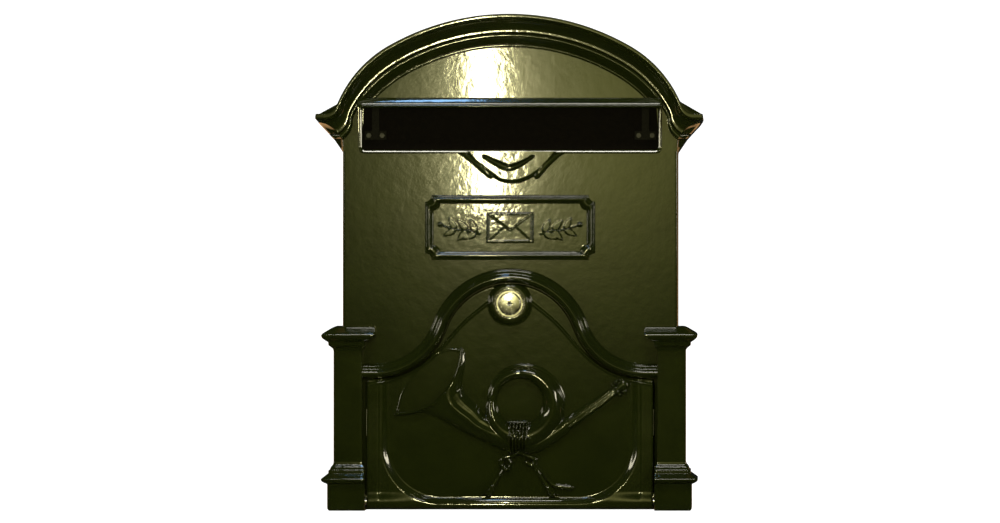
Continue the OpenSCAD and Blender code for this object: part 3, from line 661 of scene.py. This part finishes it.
def drip_moulding():
    s = Shape()
    prof = soften([(-5.0, -3.8), (-5.0, 4.6, 0.8), (-4.3, 6.0, 0.7), (-3.3, 7.8, 0.8), (-1.2, 9.2, 1.5),
                   (0.9, 8.2, 1.2), (2.0, 5.4, 1.2), (3.9, 4.9, 1.0), (5.5, 4.2, 0.9), (5.9, 1.0, 0.9),
                   (7.2, -0.3)], 4)
    rows = []
    for off, out in prof:
        p = both_sides(ogee(off, 124.5))
        rows.append(np.column_stack([p[:, 0], np.full(len(p), WALL_D + out), p[:, 1]]))
    s.skin(rows)
    return s


# Pilaster: (height, how far it stands out from the shaft), with the foot, the shaft and the capital
PILASTER = soften([
    (0.0, 3.6), (1.6, 5.0, 1.4), (12.0, 5.0), (22.4, 5.0, 0.8), (23.2, 6.9, 0.5), (24.6, 9.2, 0.9),
    (26.4, 10.2, 0.9), (28.0, 8.4, 0.9), (29.6, 6.2, 0.9), (30.9, 4.7, 0.5), (31.0, 4.1, 0.4),
    (33.6, 4.1, 0.5), (34.2, 2.9, 0.4), (36.4, 2.2, 0.8), (38.2, 0.5, 0.8), (40.0, 0.0, 0.8),
    (80.0, 0.0), (133.4, 0.0, 0.8), (135.2, 0.7, 0.8), (137.2, 3.0, 0.5), (137.8, 4.0, 0.5),
    (140.6, 4.2, 0.5), (141.6, 6.0, 0.8), (144.0, 9.0, 1.2), (146.4, 9.9, 1.2), (148.2, 8.2, 1.2),
    (150.4, 4.6, 1.5), (152.6, 1.0, 1.0), (153.6, -1.4)], 4)


def pilaster_inner(h, o):
    """How far the inner face stands in at height h, where the rest stands out by o."""
    if h < 31:
        return 2.4
    if h < 137:
        return min(o, 2.0)
    return min(0.62 * o + max(0, (h - 141) * 0.85), 12.2)


def pilaster(side):
    """Corner column on the right (1) or left (-1)."""
    s = Shape()
    rows = []
    for h, o in PILASTER:
        x0, x1 = 123.0 - pilaster_inner(h, o), 147.0 + o
        front, back, r = 107.0 + o, 83.0 - o, 0.9
        p = np.vstack([np.linspace((x0, 95.2), (x0, front - r), 6)[:-1],
                       arc((x0 + r, front - r), r, math.pi, 0.5 * math.pi, 5),
                       np.linspace((x0 + r, front), (x1 - r, front), 12)[1:-1],
                       arc((x1 - r, front - r), r, 0.5 * math.pi, 0, 5),
                       np.linspace((x1, front - r), (x1, back + r), 10)[1:-1],
                       arc((x1 - r, back + r), r, 0, -0.5 * math.pi, 5),
                       np.linspace((x1 - r, back), (138.0, back), 4)[1:]])
        rows.append(np.column_stack([side * p[:, 0], p[:, 1], np.full(len(p), h)]))
    s.skin(rows)
    for row in (rows[0], rows[-1]):
        s.face(np.vstack([row, [(side * 138.0, 95.2, row[0, 2])]]))
    return s


def doorway_loop(off, w, low):
    """Closed line round the doorway: off above the drip moulding's line, w to each side, down to low."""
    top = both_sides(ogee(off, w))
    top = even(top[np.abs(top[:, 0]) <= w], 121)
    side = np.linspace((w, top[-1, 1]), (w, low), 16)[1:]
    base = np.linspace((w, low), (-w, low), 30)[1:]
    up = np.linspace((-w, low), (-w, top[0, 1]), 16)[1:-1]
    return np.vstack([top, side, base, up])


def front_inside():
    """Rear of the front casting: its back face, the stop flange, the sill, bosses and lugs."""
    s = Shape()
    # Back face above the slot, and between the slot and the doorway
    x = np.linspace(-HALF_W + 3.8, HALF_W - 3.8, 120)
    slot_top = np.where(np.abs(x) < SLOT_HALF, SLOT_HIGH, SLOT_LOW)
    door_top = np.where(np.abs(x) < 123, ogee_at(-3.5, x), 60.0)
    for lo, hi, m in ((slot_top, arch_at(5.2, x), 20), (door_top, np.full_like(x, SLOT_LOW), 24)):
        t = np.linspace(0, 1, m)[:, None]
        s.grid(np.repeat(x[None], m, 0), SHELL_D, lo + (hi - lo) * t)
    # Stop flange with rounded edges
    big, small = doorway_loop(6, 135.8, 3.8), doorway_loop(-12, 112, 13)
    rows = []
    for k, d in ((0.0, 92.5), (0.975, 92.5), (1.0, 92.9), (1.0, 95.1), (0.975, 95.5), (0.0, 95.5)):
        p = big + (small - big) * k
        rows.append(np.column_stack([p[:, 0], np.full(len(p), d), p[:, 1]]))
    s.skin(rows, wrap_v=True)
    s.lump((-135.8, 93.5, 0.3), (135.8, 96.8, 13.0), 0.8)
    # Bosses for the screws
    boss = [(2.1, 96.0), (2.1, 90.5), (2.5, 90.05), (4.6, 90.05), (5.0, 90.5), (5.3, 95.0)]
    for x, h in ((-131, 55), (131, 55), (-131, 240), (131, 240), (0, 399)):
        s.lathe(boss, (x, h), 32, axis_d=True)
    # Lugs that carry the flap's rod
    for sx in (-1, 1):
        lo, hi = sorted((sx * 120.0, sx * 124.5))
        s.lump((lo, 89.2, 338.9), (hi, 95, 345.5), 0.7)
    return s


# ---------- shell ----------

def shell():
    """Body behind the front casting: walls, roof, floor and rear flange."""
    s = Shape()
    # Outer line of the right half, from the crown down to the middle of the floor
    eaves = np.array([mitre(d)[1:] for d, p in CORNICE])
    roof = arch(0, eaves[0, 0])
    below = eaves[-1, 1] - 1.5
    side = np.linspace((HALF_W, below), (HALF_W, 1.6), 30)
    foot = np.vstack([arc((HALF_W - 1.6, 1.6), 1.6, 0, -0.5 * math.pi, 5)[1:],
                      np.linspace((HALF_W - 1.6, 0), (0, 0), 24)[1:]])
    outer = np.vstack([roof, eaves[1:], side, foot])
    # Inner line matched point by point
    ring = arch(5.0, 159)
    inner_roof = even(ring[ring[:, 0] < INNER_W], len(roof))
    inner_eaves = np.linspace((INNER_W, inner_roof[-1, 1]), (INNER_W, below + 0.5), len(eaves))[1:]
    inner_side = np.linspace((INNER_W, below), (INNER_W, 3.5), 30)
    inner_foot = np.column_stack([np.minimum(foot[:, 0], INNER_W), np.full(len(foot), 3.5)])
    inside = np.vstack([inner_roof, inner_eaves, inner_side, inner_foot])
    # Rear flange that the back plate is screwed to
    flange = inside.copy()
    flange[:, 0] = np.minimum(flange[:, 0], 127.5)
    ring = arch(14.0, 159)
    n = len(roof)
    flange[:n] = even(ring[ring[:, 0] < 127.5], n)
    flange[n:n + len(eaves) - 1, 1] = np.linspace(flange[n - 1, 1], below + 0.5, len(eaves))[1:]
    flange[:, 1] = np.maximum(flange[:, 1], 12.5)
    # Round the section: back edge, outside, front edge, inside, flange
    rows = []
    for a, b, k, d in [(outer, inside, 1.0, 0.0), (outer, inside, 0.06, 0.0), (outer, inside, 0.0, 0.3),
                       *[(outer, inside, 0.0, q) for q in np.linspace(4, 90, 16)],
                       (outer, inside, 0.0, SHELL_D - 0.4), (outer, inside, 0.05, SHELL_D - 0.12),
                       (outer, inside, 1.0, SHELL_D - 0.12),
                       *[(outer, inside, 1.0, q) for q in np.linspace(90, 5, 14)],
                       (inside, flange, 0.95, 5.0), (inside, flange, 1.0, 4.7), (inside, flange, 1.0, 2.3),
                       (inside, flange, 0.95, 2.0), (inside, flange, 0.0, 2.0)]:
        p = a + (b - a) * k
        f = np.concatenate([p, p[-2:0:-1] * [-1, 1]])
        rows.append(np.column_stack([f[:, 0], np.full(len(f), d), f[:, 1]]))
    s.skin(rows, wrap_v=True)
    # Blocks for the screws of the front casting
    for h in (55, 240):
        for sx in (-1, 1):
            lo, hi = sorted((sx * 126.0, sx * 137.0))
            s.lump((lo, 85, h - 6), (hi, 90, h + 6), 0.8)
    s.lump((-6, 85, 393), (6, 90, 411), 0.8)
    return s


# ---------- door ----------

COIL = (8.3, 90.5)


def door_relief(X, H):
    """Depth of the door's front face, with its panel, frame and lock collar."""
    z = np.full_like(X, DOOR_FACE)
    # Dished panel: rounded lower corners, and a bevel up to the frame that is deepest below
    w, low, r = 101.5, 10.9, 44.0
    qx = np.abs(X) - (w - r)
    qh = (low + r) - H
    corner = np.hypot(np.maximum(qx, 0), np.maximum(qh, 0)) - r
    out = np.where((qx > 0) & (qh > 0), corner, np.maximum(qx, qh) - r)
    turn = np.arctan2(qh, np.maximum(qx, 1e-6)) / (math.pi / 2)
    turn = np.where(qh <= 0, 0.0, np.where(qx <= 0, 1.0, turn))
    deep = 1.3 + 1.3 * smooth((95 - H) / 60) + 3.6 * smooth(turn)
    z += deep * smooth(out / 6.2 * 0.94 + 0.03)
    z += 0.55 * smooth((np.abs(X) - 108) / 2.5) * smooth((112 - H) / 8)
    # Crease under the drip moulding, from the collar of the lock out to the sides
    crease = spline([(0, 177.2), (10, 176.8), (17, 174.8), (23.5, 170.0), (35.5, 160.2), (44, 151.6),
                     (55.9, 138.0), (66, 127.6), (76, 120.0), (88, 113.6), (102, 108.8), (120, 105.5)], 6)
    line = np.interp(np.abs(X), crease[:, 0], crease[:, 1])
    step = np.diff(crease, axis=0)
    slope = np.interp(np.abs(X), crease[:-1, 0], step[:, 1] / np.maximum(step[:, 0], 1e-3))
    off = (H - line) / np.sqrt(1 + slope ** 2)
    z -= 1.1 * smooth((off + 0.8) / 1.6) - 0.5 * np.exp(-((off + 0.9) / 0.8) ** 2)
    # Lock collar
    rr = np.hypot(X, H - LOCK_H)
    collar = 108.0 - 0.9 * smooth((rr - 14.6) / 1.2) - 3.6 * smooth((rr - 15.6) / 1.8)
    collar -= 2.4 * np.maximum(rr - 17.3, 0)
    z = np.where(rr < 19, np.maximum(z, collar), z)
    # Frame swelling out over the rolled lower edge
    z += np.maximum(0, 108.5 - z) * smooth((16 - H) / 9.5) * smooth(out / 8.0)
    return z


def coil(X, H):
    """The horn's coil: a tube that widens as it goes round, and a second turn showing outside it."""
    x, h = X - COIL[0], H - COIL[1]
    r = np.hypot(x, h)
    turn = np.mod(180 - np.degrees(np.arctan2(h, x)), 360)
    rim = curve(turn, (0, 27.7), (45, 29.2), (90, 31.4), (135, 34.6), (180, 38.2), (225, 41.0),
                (270, 43.0), (300, 38.0), (330, 30.0), (360, 27.7))
    outer = curve(turn, (0, 27.4), (90, 28.2), (150, 33.5), (200, 39.0), (250, 42.4), (270, 43.0),
                  (300, 38.0), (360, 27.4))
    inner = 19
    half = (outer - inner) / 2
    u = (r - (inner + outer) / 2) / half
    tube = 0.95 * np.minimum(8.4, 1.05 * half + 0.6) * np.clip(1 - u ** 2, 0, 1) ** 0.75
    u = (r - (rim - 1.9)) / 2.3
    second = 3.6 * np.exp(-((turn - 105) / 55.0) ** 2) * np.clip(1 - u ** 2, 0, 1) ** 0.7
    return np.maximum(tube, second)


def bell(X, H):
    """The horn's bell: s runs along its axis from the throat, t across."""
    ax, ah = -0.808, 0.589
    x0, h0 = -5.0, 60.0
    s = (X - x0) * ax + (H - h0) * ah
    t = (X - x0) * ah - (H - h0) * ax
    up = curve(s, (-14, 9), (0, 8.6), (12, 7.0), (24.9, 6.2), (33.8, 9.0), (42.2, 9.9), (48.6, 11.5),
               (54.3, 15.4), (57.8, 21.1), (61.4, 28.9), (64.4, 35), (68.7, 39), (73, 41))
    down = curve(s, (-14, -7), (0, -10.2), (1.7, -10.6), (29, -15.8), (52, -18.6), (64, -21.6),
                 (72.7, -26.5), (84.4, -36.4), (92, -41))
    rim = np.array([(85.0, -37.0), (77.0, -30), (71.0, -22.7), (64.4, -10.8), (62.3, 1.7), (62.6, 15),
                    (65.4, 25.8), (68.8, 33), (73.0, 39.0)])
    end = np.interp(t, rim[:, 1], rim[:, 0])
    v = (t - (up + down) / 2) / ((up - down) / 2)
    amp = curve(s, (-14, 7.6), (0, 8.0), (20, 8.2), (45, 7.6), (64, 7.4), (90, 6.5))
    body = 0.86 * amp * np.clip(1 - v ** 2, 0, 1) ** 0.8
    flutes = np.cos(v * 8.4 + 0.5) * (1 - v ** 2)
    body += 0.62 * flutes * np.clip((s - 6) / 14, 0, 1) * np.clip((end - s) / 12, 0, 1)
    body *= smooth((end + 1.6 - s) / 2.4) * np.clip((s + 14) / 3, 0, 1)
    z = np.where((np.abs(v) < 1) & (s > -14), np.maximum(body, 0), 0)
    # Rolled rim, highest in the middle, and the far lip of the mouth, nearly flush with the panel
    lip = spline([(x0 + ax * a + ah * b, h0 + ah * a - ax * b) for a, b in rim], 6)
    n = len(lip)
    high = 1.5 + 4.4 * np.sin(np.linspace(0.12, math.pi - 0.12, n)) ** 0.6
    far = spline([(-41, 133.2, 1.2, 1.2), (-52, 133.5, 1.1, 0.8), (-66, 127, 1.0, 0.6),
                  (-80, 113, 1.0, 0.5), (-90, 97, 1.0, 0.5), (-94, 83, 1.1, 0.9)], 6)
    return over(z, X, H, np.column_stack([lip, np.full(n, 1.35), high]), far)


def mouth_tube(z, X, H):
    """Adds the horn's straight tube with its collar and mouthpiece."""
    bend = spline([(10, 52.5, 6.0, 5.5), (22, 54.6, 6.5, 6.0), (34, 61.2, 6.4, 5.6),
                   (44.5, 68.6, 6.0, 5.4)], 6)
    z = over(z, X, H, bend,
             [(44.2, 66.5, 2.2, 5.0), (49.6, 76.2, 1.8, 4.4)],
             [(46, 70.4, 5.6, 5.0), (88, 99.6, 4.0, 4.2)],
             [(48.5, 74.6, 1.6, 5.4), (86.5, 101.0, 1.4, 4.9)],
             [(50.0, 69.8, 1.6, 5.2), (87.0, 96.8, 1.4, 4.6)],
             [(86.2, 104.2, 1.8, 5.2), (91.6, 96.4, 1.8, 5.0)],
             [(90.0, 101.0, 3.6, 4.8), (95.0, 104.8, 4.6, 5.0)])
    for a, b in ((88.6, 106.8), (93.0, 108.6), (97.6, 104.6), (95.4, 99.0)):
        z = over(z, X, H, [(a, b, 2.2, 4.6), (a + 0.5, b + 0.4, 2.2, 4.6)])
    return z


def cord(z, X, H):
    """Adds the cord: strands round the coil, then two knots and three tails with tassels."""
    for i in range(6):
        x = -0.6 + 2.75 * i
        strand = [(x + 1.6, 74.4, 1.5, 5.0), (x + 1.2, 71.0, 1.5, 7.6), (x + 0.8, 66.0, 1.5, 8.4),
                  (x + 0.6, 63.4, 1.5, 9.0), (x + 0.4, 60.8, 1.5, 10.4), (x + 0.3, 57.0, 1.5, 10.6),
                  (x + 0.3, 52.5, 1.5, 8.8), (x + 0.6, 48.6, 1.4, 4.6)]
        z = over(z, X, H, spline(strand, 4))
    band = [(-1.0, 73.6, 1.3, 6.6), (15.5, 73.2, 1.3, 6.6)]
    end = [(13.5, 60.6, 2.2, 9.6), (17.0, 60.2, 1.8, 8.6)]
    z = over(z, X, H, band, end)
    left_knot = [(8.5, 49.0, 1.7, 4.6), (1.5, 45.0, 1.9, 4.0), (-5.6, 43.6, 2.0, 4.0),
                 (-7.2, 38.0, 2.0, 3.6), (-3.0, 33.6, 2.0, 3.6), (0.4, 38.4, 1.9, 3.6),
                 (-1.6, 43.6, 1.8, 3.8)]
    left_tail = [(-4.2, 36.0, 1.7, 3.2), (-8.6, 29.0, 1.6, 2.6), (-13.0, 22.4, 2.2, 3.0),
                 (-18.2, 14.0, 3.6, 3.6)]
    right_knot = [(8.0, 48.0, 1.7, 4.6), (13.6, 45.6, 1.9, 4.0), (20.6, 42.6, 2.3, 4.2),
                  (19.0, 37.6, 2.0, 3.6), (13.8, 40.2, 1.8, 3.4)]
    right_tail = [(18.6, 39.0, 1.8, 3.4), (25.0, 29.6, 1.7, 2.8), (30.0, 21.6, 2.3, 3.0),
                  (35.6, 13.6, 3.6, 3.6)]
    long_tail = [(21.0, 38.0, 1.7, 3.2), (29.0, 29.4, 1.6, 2.6), (36.0, 21.4, 1.8, 2.8),
                 (44.0, 19.4, 2.4, 3.2), (50.6, 18.6, 2.8, 3.4)]
    for p in (left_knot, left_tail, right_knot, right_tail, long_tail):
        z = over(z, X, H, spline(p, 5))
    for (a, b), (c, d) in (((-14.6, 20.6), (-21.0, 12.4)), ((31.6, 19.0), (38.0, 12.0))):
        for k in (-1, 0, 1):
            z = over(z, X, H, [(a + 0.7 * k, b, 0.8, 3.9), (c + 1.9 * k, d + 0.6 * abs(k), 0.8, 3.9)])
    return z


def horn():
    """Post horn as a fine height grid that breaks through the door's face."""
    s = Shape()
    X, H = np.meshgrid(np.linspace(-99, 104, 484), np.linspace(8.5, 140, 314))
    z = cord(mouth_tube(np.maximum(coil(X, H), bell(X, H)), X, H), X, H)
    s.grid(X, door_relief(X, H) + z - 0.25, H)
    z = z.ravel()
    s.f = [f for f in s.f if any(z[i] > 0 for i in f)]
    return s


def lock_face():
    """Domed face of the plug with its keyway."""
    s = Shape()
    r = np.concatenate([np.linspace(0, 8.8, 45), [9.1, 9.35, 9.5, 9.55, 9.55]])[:, None]
    a = np.linspace(0, 2 * np.pi, 96, endpoint=False)[None]
    d = 111.9 + 0.6 * (1 - (r / 9.55) ** 2) - 0.9 * smooth((r - 8.7) / 0.85)
    key = r / (1.9 + 0.6 * np.cos(6 * a))
    d = d - 1.4 * np.clip(1.05 - key, 0, 1)
    d[-1] = 110.3
    s.grid(r * np.cos(a), d, LOCK_H + r * np.sin(a), wrap_v=True)
    return s


def lock_ring():
    """Escutcheon: narrow rolled rim with a hollow falling in to the plug."""
    s = Shape()
    prof = soften([(10.3, 108.0), (10.3, 108.9, 0.3), (11.6, 109.3, 0.3), (11.9, 110.3, 0.3),
                   (12.6, 110.3, 0.4), (12.6, 108.0)], 4)
    s.lathe(prof[::-1], (0, LOCK_H), 96, axis_d=True)
    return s


def door():
    """Door leaf with its front relief, sides and rear."""
    s = Shape()
    nx, nt, low = 330, 262, 1.7
    edge = DOOR_HALF - np.array([0, 0.15, 0.6])
    x = np.concatenate([-edge, np.linspace(-DOOR_HALF + 1.2, DOOR_HALF - 1.2, nx), edge[::-1]])
    top = ogee_at(-5.8, x)
    H = low + (top - low) * np.linspace(0, 1, nt)[:, None]
    X = np.repeat(x[None], nt, 0)
    D = door_relief(X, H)
    roll = 104.2 + np.sqrt(np.clip(4.9 ** 2 - (H - 5.9) ** 2, 0, None))
    D = np.where(H < 5.9, np.minimum(D, roll), D)
    # Rounded edges
    edge = np.minimum(DOOR_HALF - np.abs(X), (top - H) * 0.8)
    D = D - 1.3 * (1 - np.sqrt(np.clip(1 - (1 - np.clip(edge / 1.3, 0, 1)) ** 2, 0, 1)))
    s.grid(X, D, H)
    # Sides, rear and foot
    a = np.stack([X, D, H], -1)
    loop = np.vstack([a[0], a[1:, -1], a[-1, -2::-1], a[-2:0:-1, 0]])
    rows = [loop]
    for k in (0.5, 1.0):
        q = loop.copy()
        q[:, 1] = loop[:, 1] + (DOOR_IN + 0.4 - loop[:, 1]) * k
        rows.append(q)
    q = rows[-1].copy()
    q[:, 1] = DOOR_IN
    mid, shrink = 95.0, 0.996
    q[:, 0] *= shrink
    q[:, 2] = mid + (q[:, 2] - mid) * shrink
    rows.append(q)
    s.skin(rows, wrap_v=True)
    t = np.linspace(0, 1, 40)[:, None]
    s.grid(np.repeat(x[None] * shrink, 40, 0), DOOR_IN, mid + ((low + (top - low) * t) - mid) * shrink)
    return s


def door_roll():
    """Core of the rolled lower edge that the hinge pins sit in."""
    s = Shape()
    end = [(2.6, DOOR_HALF - 3), (2.6, DOOR_HALF), (3.9, DOOR_HALF), (4.3, DOOR_HALF - 0.6)]
    s.lathe([(r, -x) for r, x in end] + [(4.3, 0)] + end[::-1], (104.1, 5.9), 48)
    return s


# ---------- pieces ----------

cornice().make("cornice_and_roof_edge", "box", "green_coat", GREEN, ["front_casting"], uneven=0.007, seed=3)
wall = Shape()
tymp = Shape()
front_wall(wall, tymp)
wall.make("front_wall", "box", "green_coat", GREEN, uneven=0.0014, seed=4, size=8)
tymp.make("tympanum", "box", "green_coat", GREEN_CAST, uneven=0.0010, seed=9, size=5)
slot_frame().make("slot_bead_and_hood", "box", "green_coat", GREEN, uneven=0.008, seed=5)
cloth = relief_patch(swag, -49, 51, 268, 299.6, 0.34, WALL_D - 0.6)
cloth.make("swag_relief", "box", "green_coat", GREEN, uneven=0.008, seed=6, sharp=60)
plaque().make("plaque_frame", "box", "green_coat", GREEN, uneven=0.008, seed=7)
field = relief_patch(emblem, -64.6, 64.6, PLAQUE_Z - 20.6, PLAQUE_Z + 20.6, 0.32, WALL_D + 1.2)
field.make("plaque_field_with_emblem", "box", "green_coat", GREEN_FIELD, uneven=0.004, seed=8, size=6,
           sharp=60)
drip_moulding().make("drip_moulding", "box", "green_coat", GREEN, uneven=0.012, seed=10)
pilaster(1).make("pilaster_right", "box", "green_coat", GREEN, uneven=0.012, seed=11)
pilaster(-1).make("pilaster_left", "box", "green_coat", GREEN, uneven=0.012, seed=12)
front_inside().make("front_casting_rear", "box", "green_coat", GREEN_CAST, uneven=0.0)
shell().make("shell", "box", "green_coat", GREEN, ["body_shell"], uneven=0.012, seed=13, size=16)
door().make("door_with_relief", "door", "green_coat", GREEN, ["door_casting"], uneven=0.006, seed=14,
            size=14, sharp=55)
horn().make("post_horn_relief", "door", "green_coat", GREEN, uneven=0.004, seed=16, size=8, sharp=60)
lock_ring().make("lock_ring", "door", "lock_nickel", NICKEL, ["lock_escutcheon"], sharp=50)
lock_face().make("lock_plug_face", "lock_core", "lock_nickel", NICKEL, sharp=50)
door_roll().make("door_rolled_edge", "door", "green_coat", GREEN, uneven=0.008, seed=15)

FINISH = {
    "back_plate": PLATED, "front_casting_screws": ZINC, "back_plate_screws": ZINC,
    "door_hinge_pin_left": STEEL, "door_hinge_pin_right": STEEL, "door_hinge_bush_left": NYLON,
    "door_hinge_bush_right": NYLON, "door_hinge_clips": STEEL, "door_bumpers": RUBBER,
    "door_stay_left": PLATED, "door_stay_right": PLATED, "door_stay_screws": ZINC,
    "lock_housing": NICKEL, "lock_washer": ZINC, "lock_nut": ZINC,
    "lock_plug": NICKEL, "lock_cam": PLATED, "cam_spring_washer": STEEL, "cam_screw": ZINC,
    # The flap's sheet, straps and rivets take near-black finishes that paint in the shade of the slot.
    "flap_plate": FLAP_SHEET_SHADED, "flap_strap_left": FLAP_STRAP_SHADED, "flap_strap_right": FLAP_STRAP_SHADED, "flap_rivets": FLAP_RIVET_SHADED,
    "flap_hinge_rod": STEEL, "flap_rod_clips": STEEL, "flap_bumpers": RUBBER,
}
EDGE = {"lock_housing": 0.35, "lock_plug": 0.3, "door_bumpers": 0.5, "flap_bumpers": 0.5,
        "lock_nut": 0.3, "flap_rivets": 0.3}
for name, finish in FINISH.items():
    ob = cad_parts[name]
    ob.data.materials.clear()
    ob.data.materials.append(finish)
    k = ob.modifiers.new("edges", "BEVEL")
    k.width = EDGE.get(name, 0.15) / 1000
    k.segments = 2
    k.limit_method = "ANGLE"
    k.angle_limit = math.radians(40)
    k.harden_normals = False


# ---------- room, light and camera ----------

def emitter(name, strength, colour):
    """Material that only gives light, its node tree and the node that gives it."""
    m, t = blank_material(name)
    e = node(t, "Emission", {"Color": (*colour, 1), "Strength": strength})
    node(t, "OutputMaterial", {"Surface": e.outputs[0]})
    return m, t, e


def sheet(name, corners, material):
    """Flat piece of the room."""
    me = bpy.data.meshes.new(name)
    me.from_pydata(corners, [], [(0, 1, 2, 3)])
    ob = bpy.data.objects.new(name, me)
    bpy.context.scene.collection.objects.link(ob)
    me.materials.append(material)
    return ob


floor_mat, tree, shader, coords = new_material("pale_floor")
stone = ramp(tree, noise(tree, coords, 3, 3), (0.3, (0.80, 0.79, 0.77)), (0.7, (0.86, 0.85, 0.83)))
fill(tree, shader, {"Base Color": stone, "Roughness": 0.8})
FLOOR_Z = FOOT - 0.36
BACK_Y = 0.9
ground = sheet("floor", [(-3, -3, FLOOR_Z), (3, -3, FLOOR_Z), (3, BACK_Y, FLOOR_Z), (-3, BACK_Y, FLOOR_Z)],
               floor_mat)
back = sheet("backdrop", [(-3, BACK_Y, FLOOR_Z), (3, BACK_Y, FLOOR_Z), (3, BACK_Y, 2.2), (-3, BACK_Y, 2.2)],
             emitter("white_backdrop", 1.25, (1, 1, 1))[0])
back.visible_diffuse = False
back.visible_glossy = False
ground.visible_glossy = False

world = bpy.data.worlds.new("studio")
bpy.context.scene.world = world
world.use_nodes = True
background = world.node_tree.nodes["Background"]
background.inputs[0].default_value = (0.9, 0.95, 0.8, 1)
background.inputs[1].default_value = 0.012


def lamp(name, at, aim, size, power, colour):
    """Rectangular lamp at a place, pointed at another, hidden from the camera."""
    d = bpy.data.lights.new(name, "AREA")
    d.shape = "RECTANGLE"
    d.size = size[0]
    d.size_y = size[1]
    d.energy = power
    d.color = colour
    ob = bpy.data.objects.new(name, d)
    bpy.context.scene.collection.objects.link(ob)
    ob.location = at
    ob.rotation_euler = (Vector(aim) - Vector(at)).to_track_quat("-Z", "Z").to_euler()
    ob.visible_camera = False


def height(h):
    """Frame height in metres of h mm above the part's foot."""
    return FOOT + h / 1000


GLARE = (1.0, 0.93, 0.50)
WARM = (1.0, 0.93, 0.70)
ORANGE = (1.0, 0.55, 0.22)
BLUE = (0.32, 0.60, 1.0)
lamp("glare", (-0.0625, -1.0, height(336)), (-0.02, -0.1, height(325)), (0.024, 0.172), 2.0, GLARE)
lamp("ceiling", (0.0, -0.75, height(1250)), (0, -0.1, height(250)), (0.5, 0.12), 5.0, (1.0, 0.96, 0.85))
lamp("sky_window", (-0.150, -0.28, height(1530)), (0, -0.1, height(100)), (0.12, 0.16), 1.2, BLUE)
lamp("side_left", (-1.1, -0.8, height(420)), (0, -0.1, height(200)), (0.12, 0.7), 3.0, WARM)
lamp("side_right", (1.1, -0.8, height(420)), (0, -0.1, height(200)), (0.12, 0.7), 4.0, WARM)
for name, sx in (("orange_left", -1), ("orange_right", 1)):
    lamp(name, (sx * 0.7, 0.32, height(60)), (sx * 0.14, 0, height(310)), (0.7, 0.9), 3.0, ORANGE)

# Soft glow of the room, brightest above the middle and fading out all round: at GLOW_X or GLOW_Z metres
# from its middle it has GLOW_FALL of its full strength
GLOW_X, GLOW_Z, GLOW_FALL, GLOW_POWER = 0.132, 0.115, 0.6065, 1.7
glow, tree, light = emitter("glow", 1.0, (1.0, 0.95, 0.29))
coords = node(tree, "TexCoord", {}).outputs["Object"]
spot = node(tree, "Mapping", {"Vector": coords, "Scale": (1 / GLOW_X, 1, 1 / GLOW_Z)}).outputs[0]
square = node(tree, "VectorMath", {0: spot, 1: spot}, "DOT_PRODUCT").outputs["Value"]
fall = node(tree, "Math", {0: GLOW_FALL, 1: square}, "POWER").outputs[0]
fill(tree, light, {"Strength": node(tree, "Math", {0: fall, 1: GLOW_POWER}, "MULTIPLY").outputs[0]})
panel = sheet("glow_panel", [(-0.5, 0, -0.45), (0.5, 0, -0.45), (0.5, 0, 0.45), (-0.5, 0, 0.45)], glow)
panel.location = (0.0045, -1.005, height(346))
panel.visible_camera = False

# The lens is shifted, so that the picture stays square to the front: eye (m across, mm high), the middle
# of the picture (m across, mm high) and its width at the front, in metres
CAM_X, CAM_H = 0.17, 260.0
MID_X, MID_H = -0.0084, 207.6
VIEW_W = 0.8355
cam_data = bpy.data.cameras.new("camera")
cam = bpy.data.objects.new("camera", cam_data)
bpy.context.scene.collection.objects.link(cam)
cam.location = (CAM_X, -4.100, height(CAM_H))
cam.rotation_euler = (math.pi / 2, 0, 0)
cam_data.sensor_width = 36
cam_data.lens = 172.35
cam_data.shift_x = (MID_X - CAM_X) / VIEW_W
cam_data.shift_y = (MID_H - CAM_H) / 1000 / VIEW_W
bpy.context.scene.camera = cam
bpy.context.scene.view_settings.view_transform = "Standard"
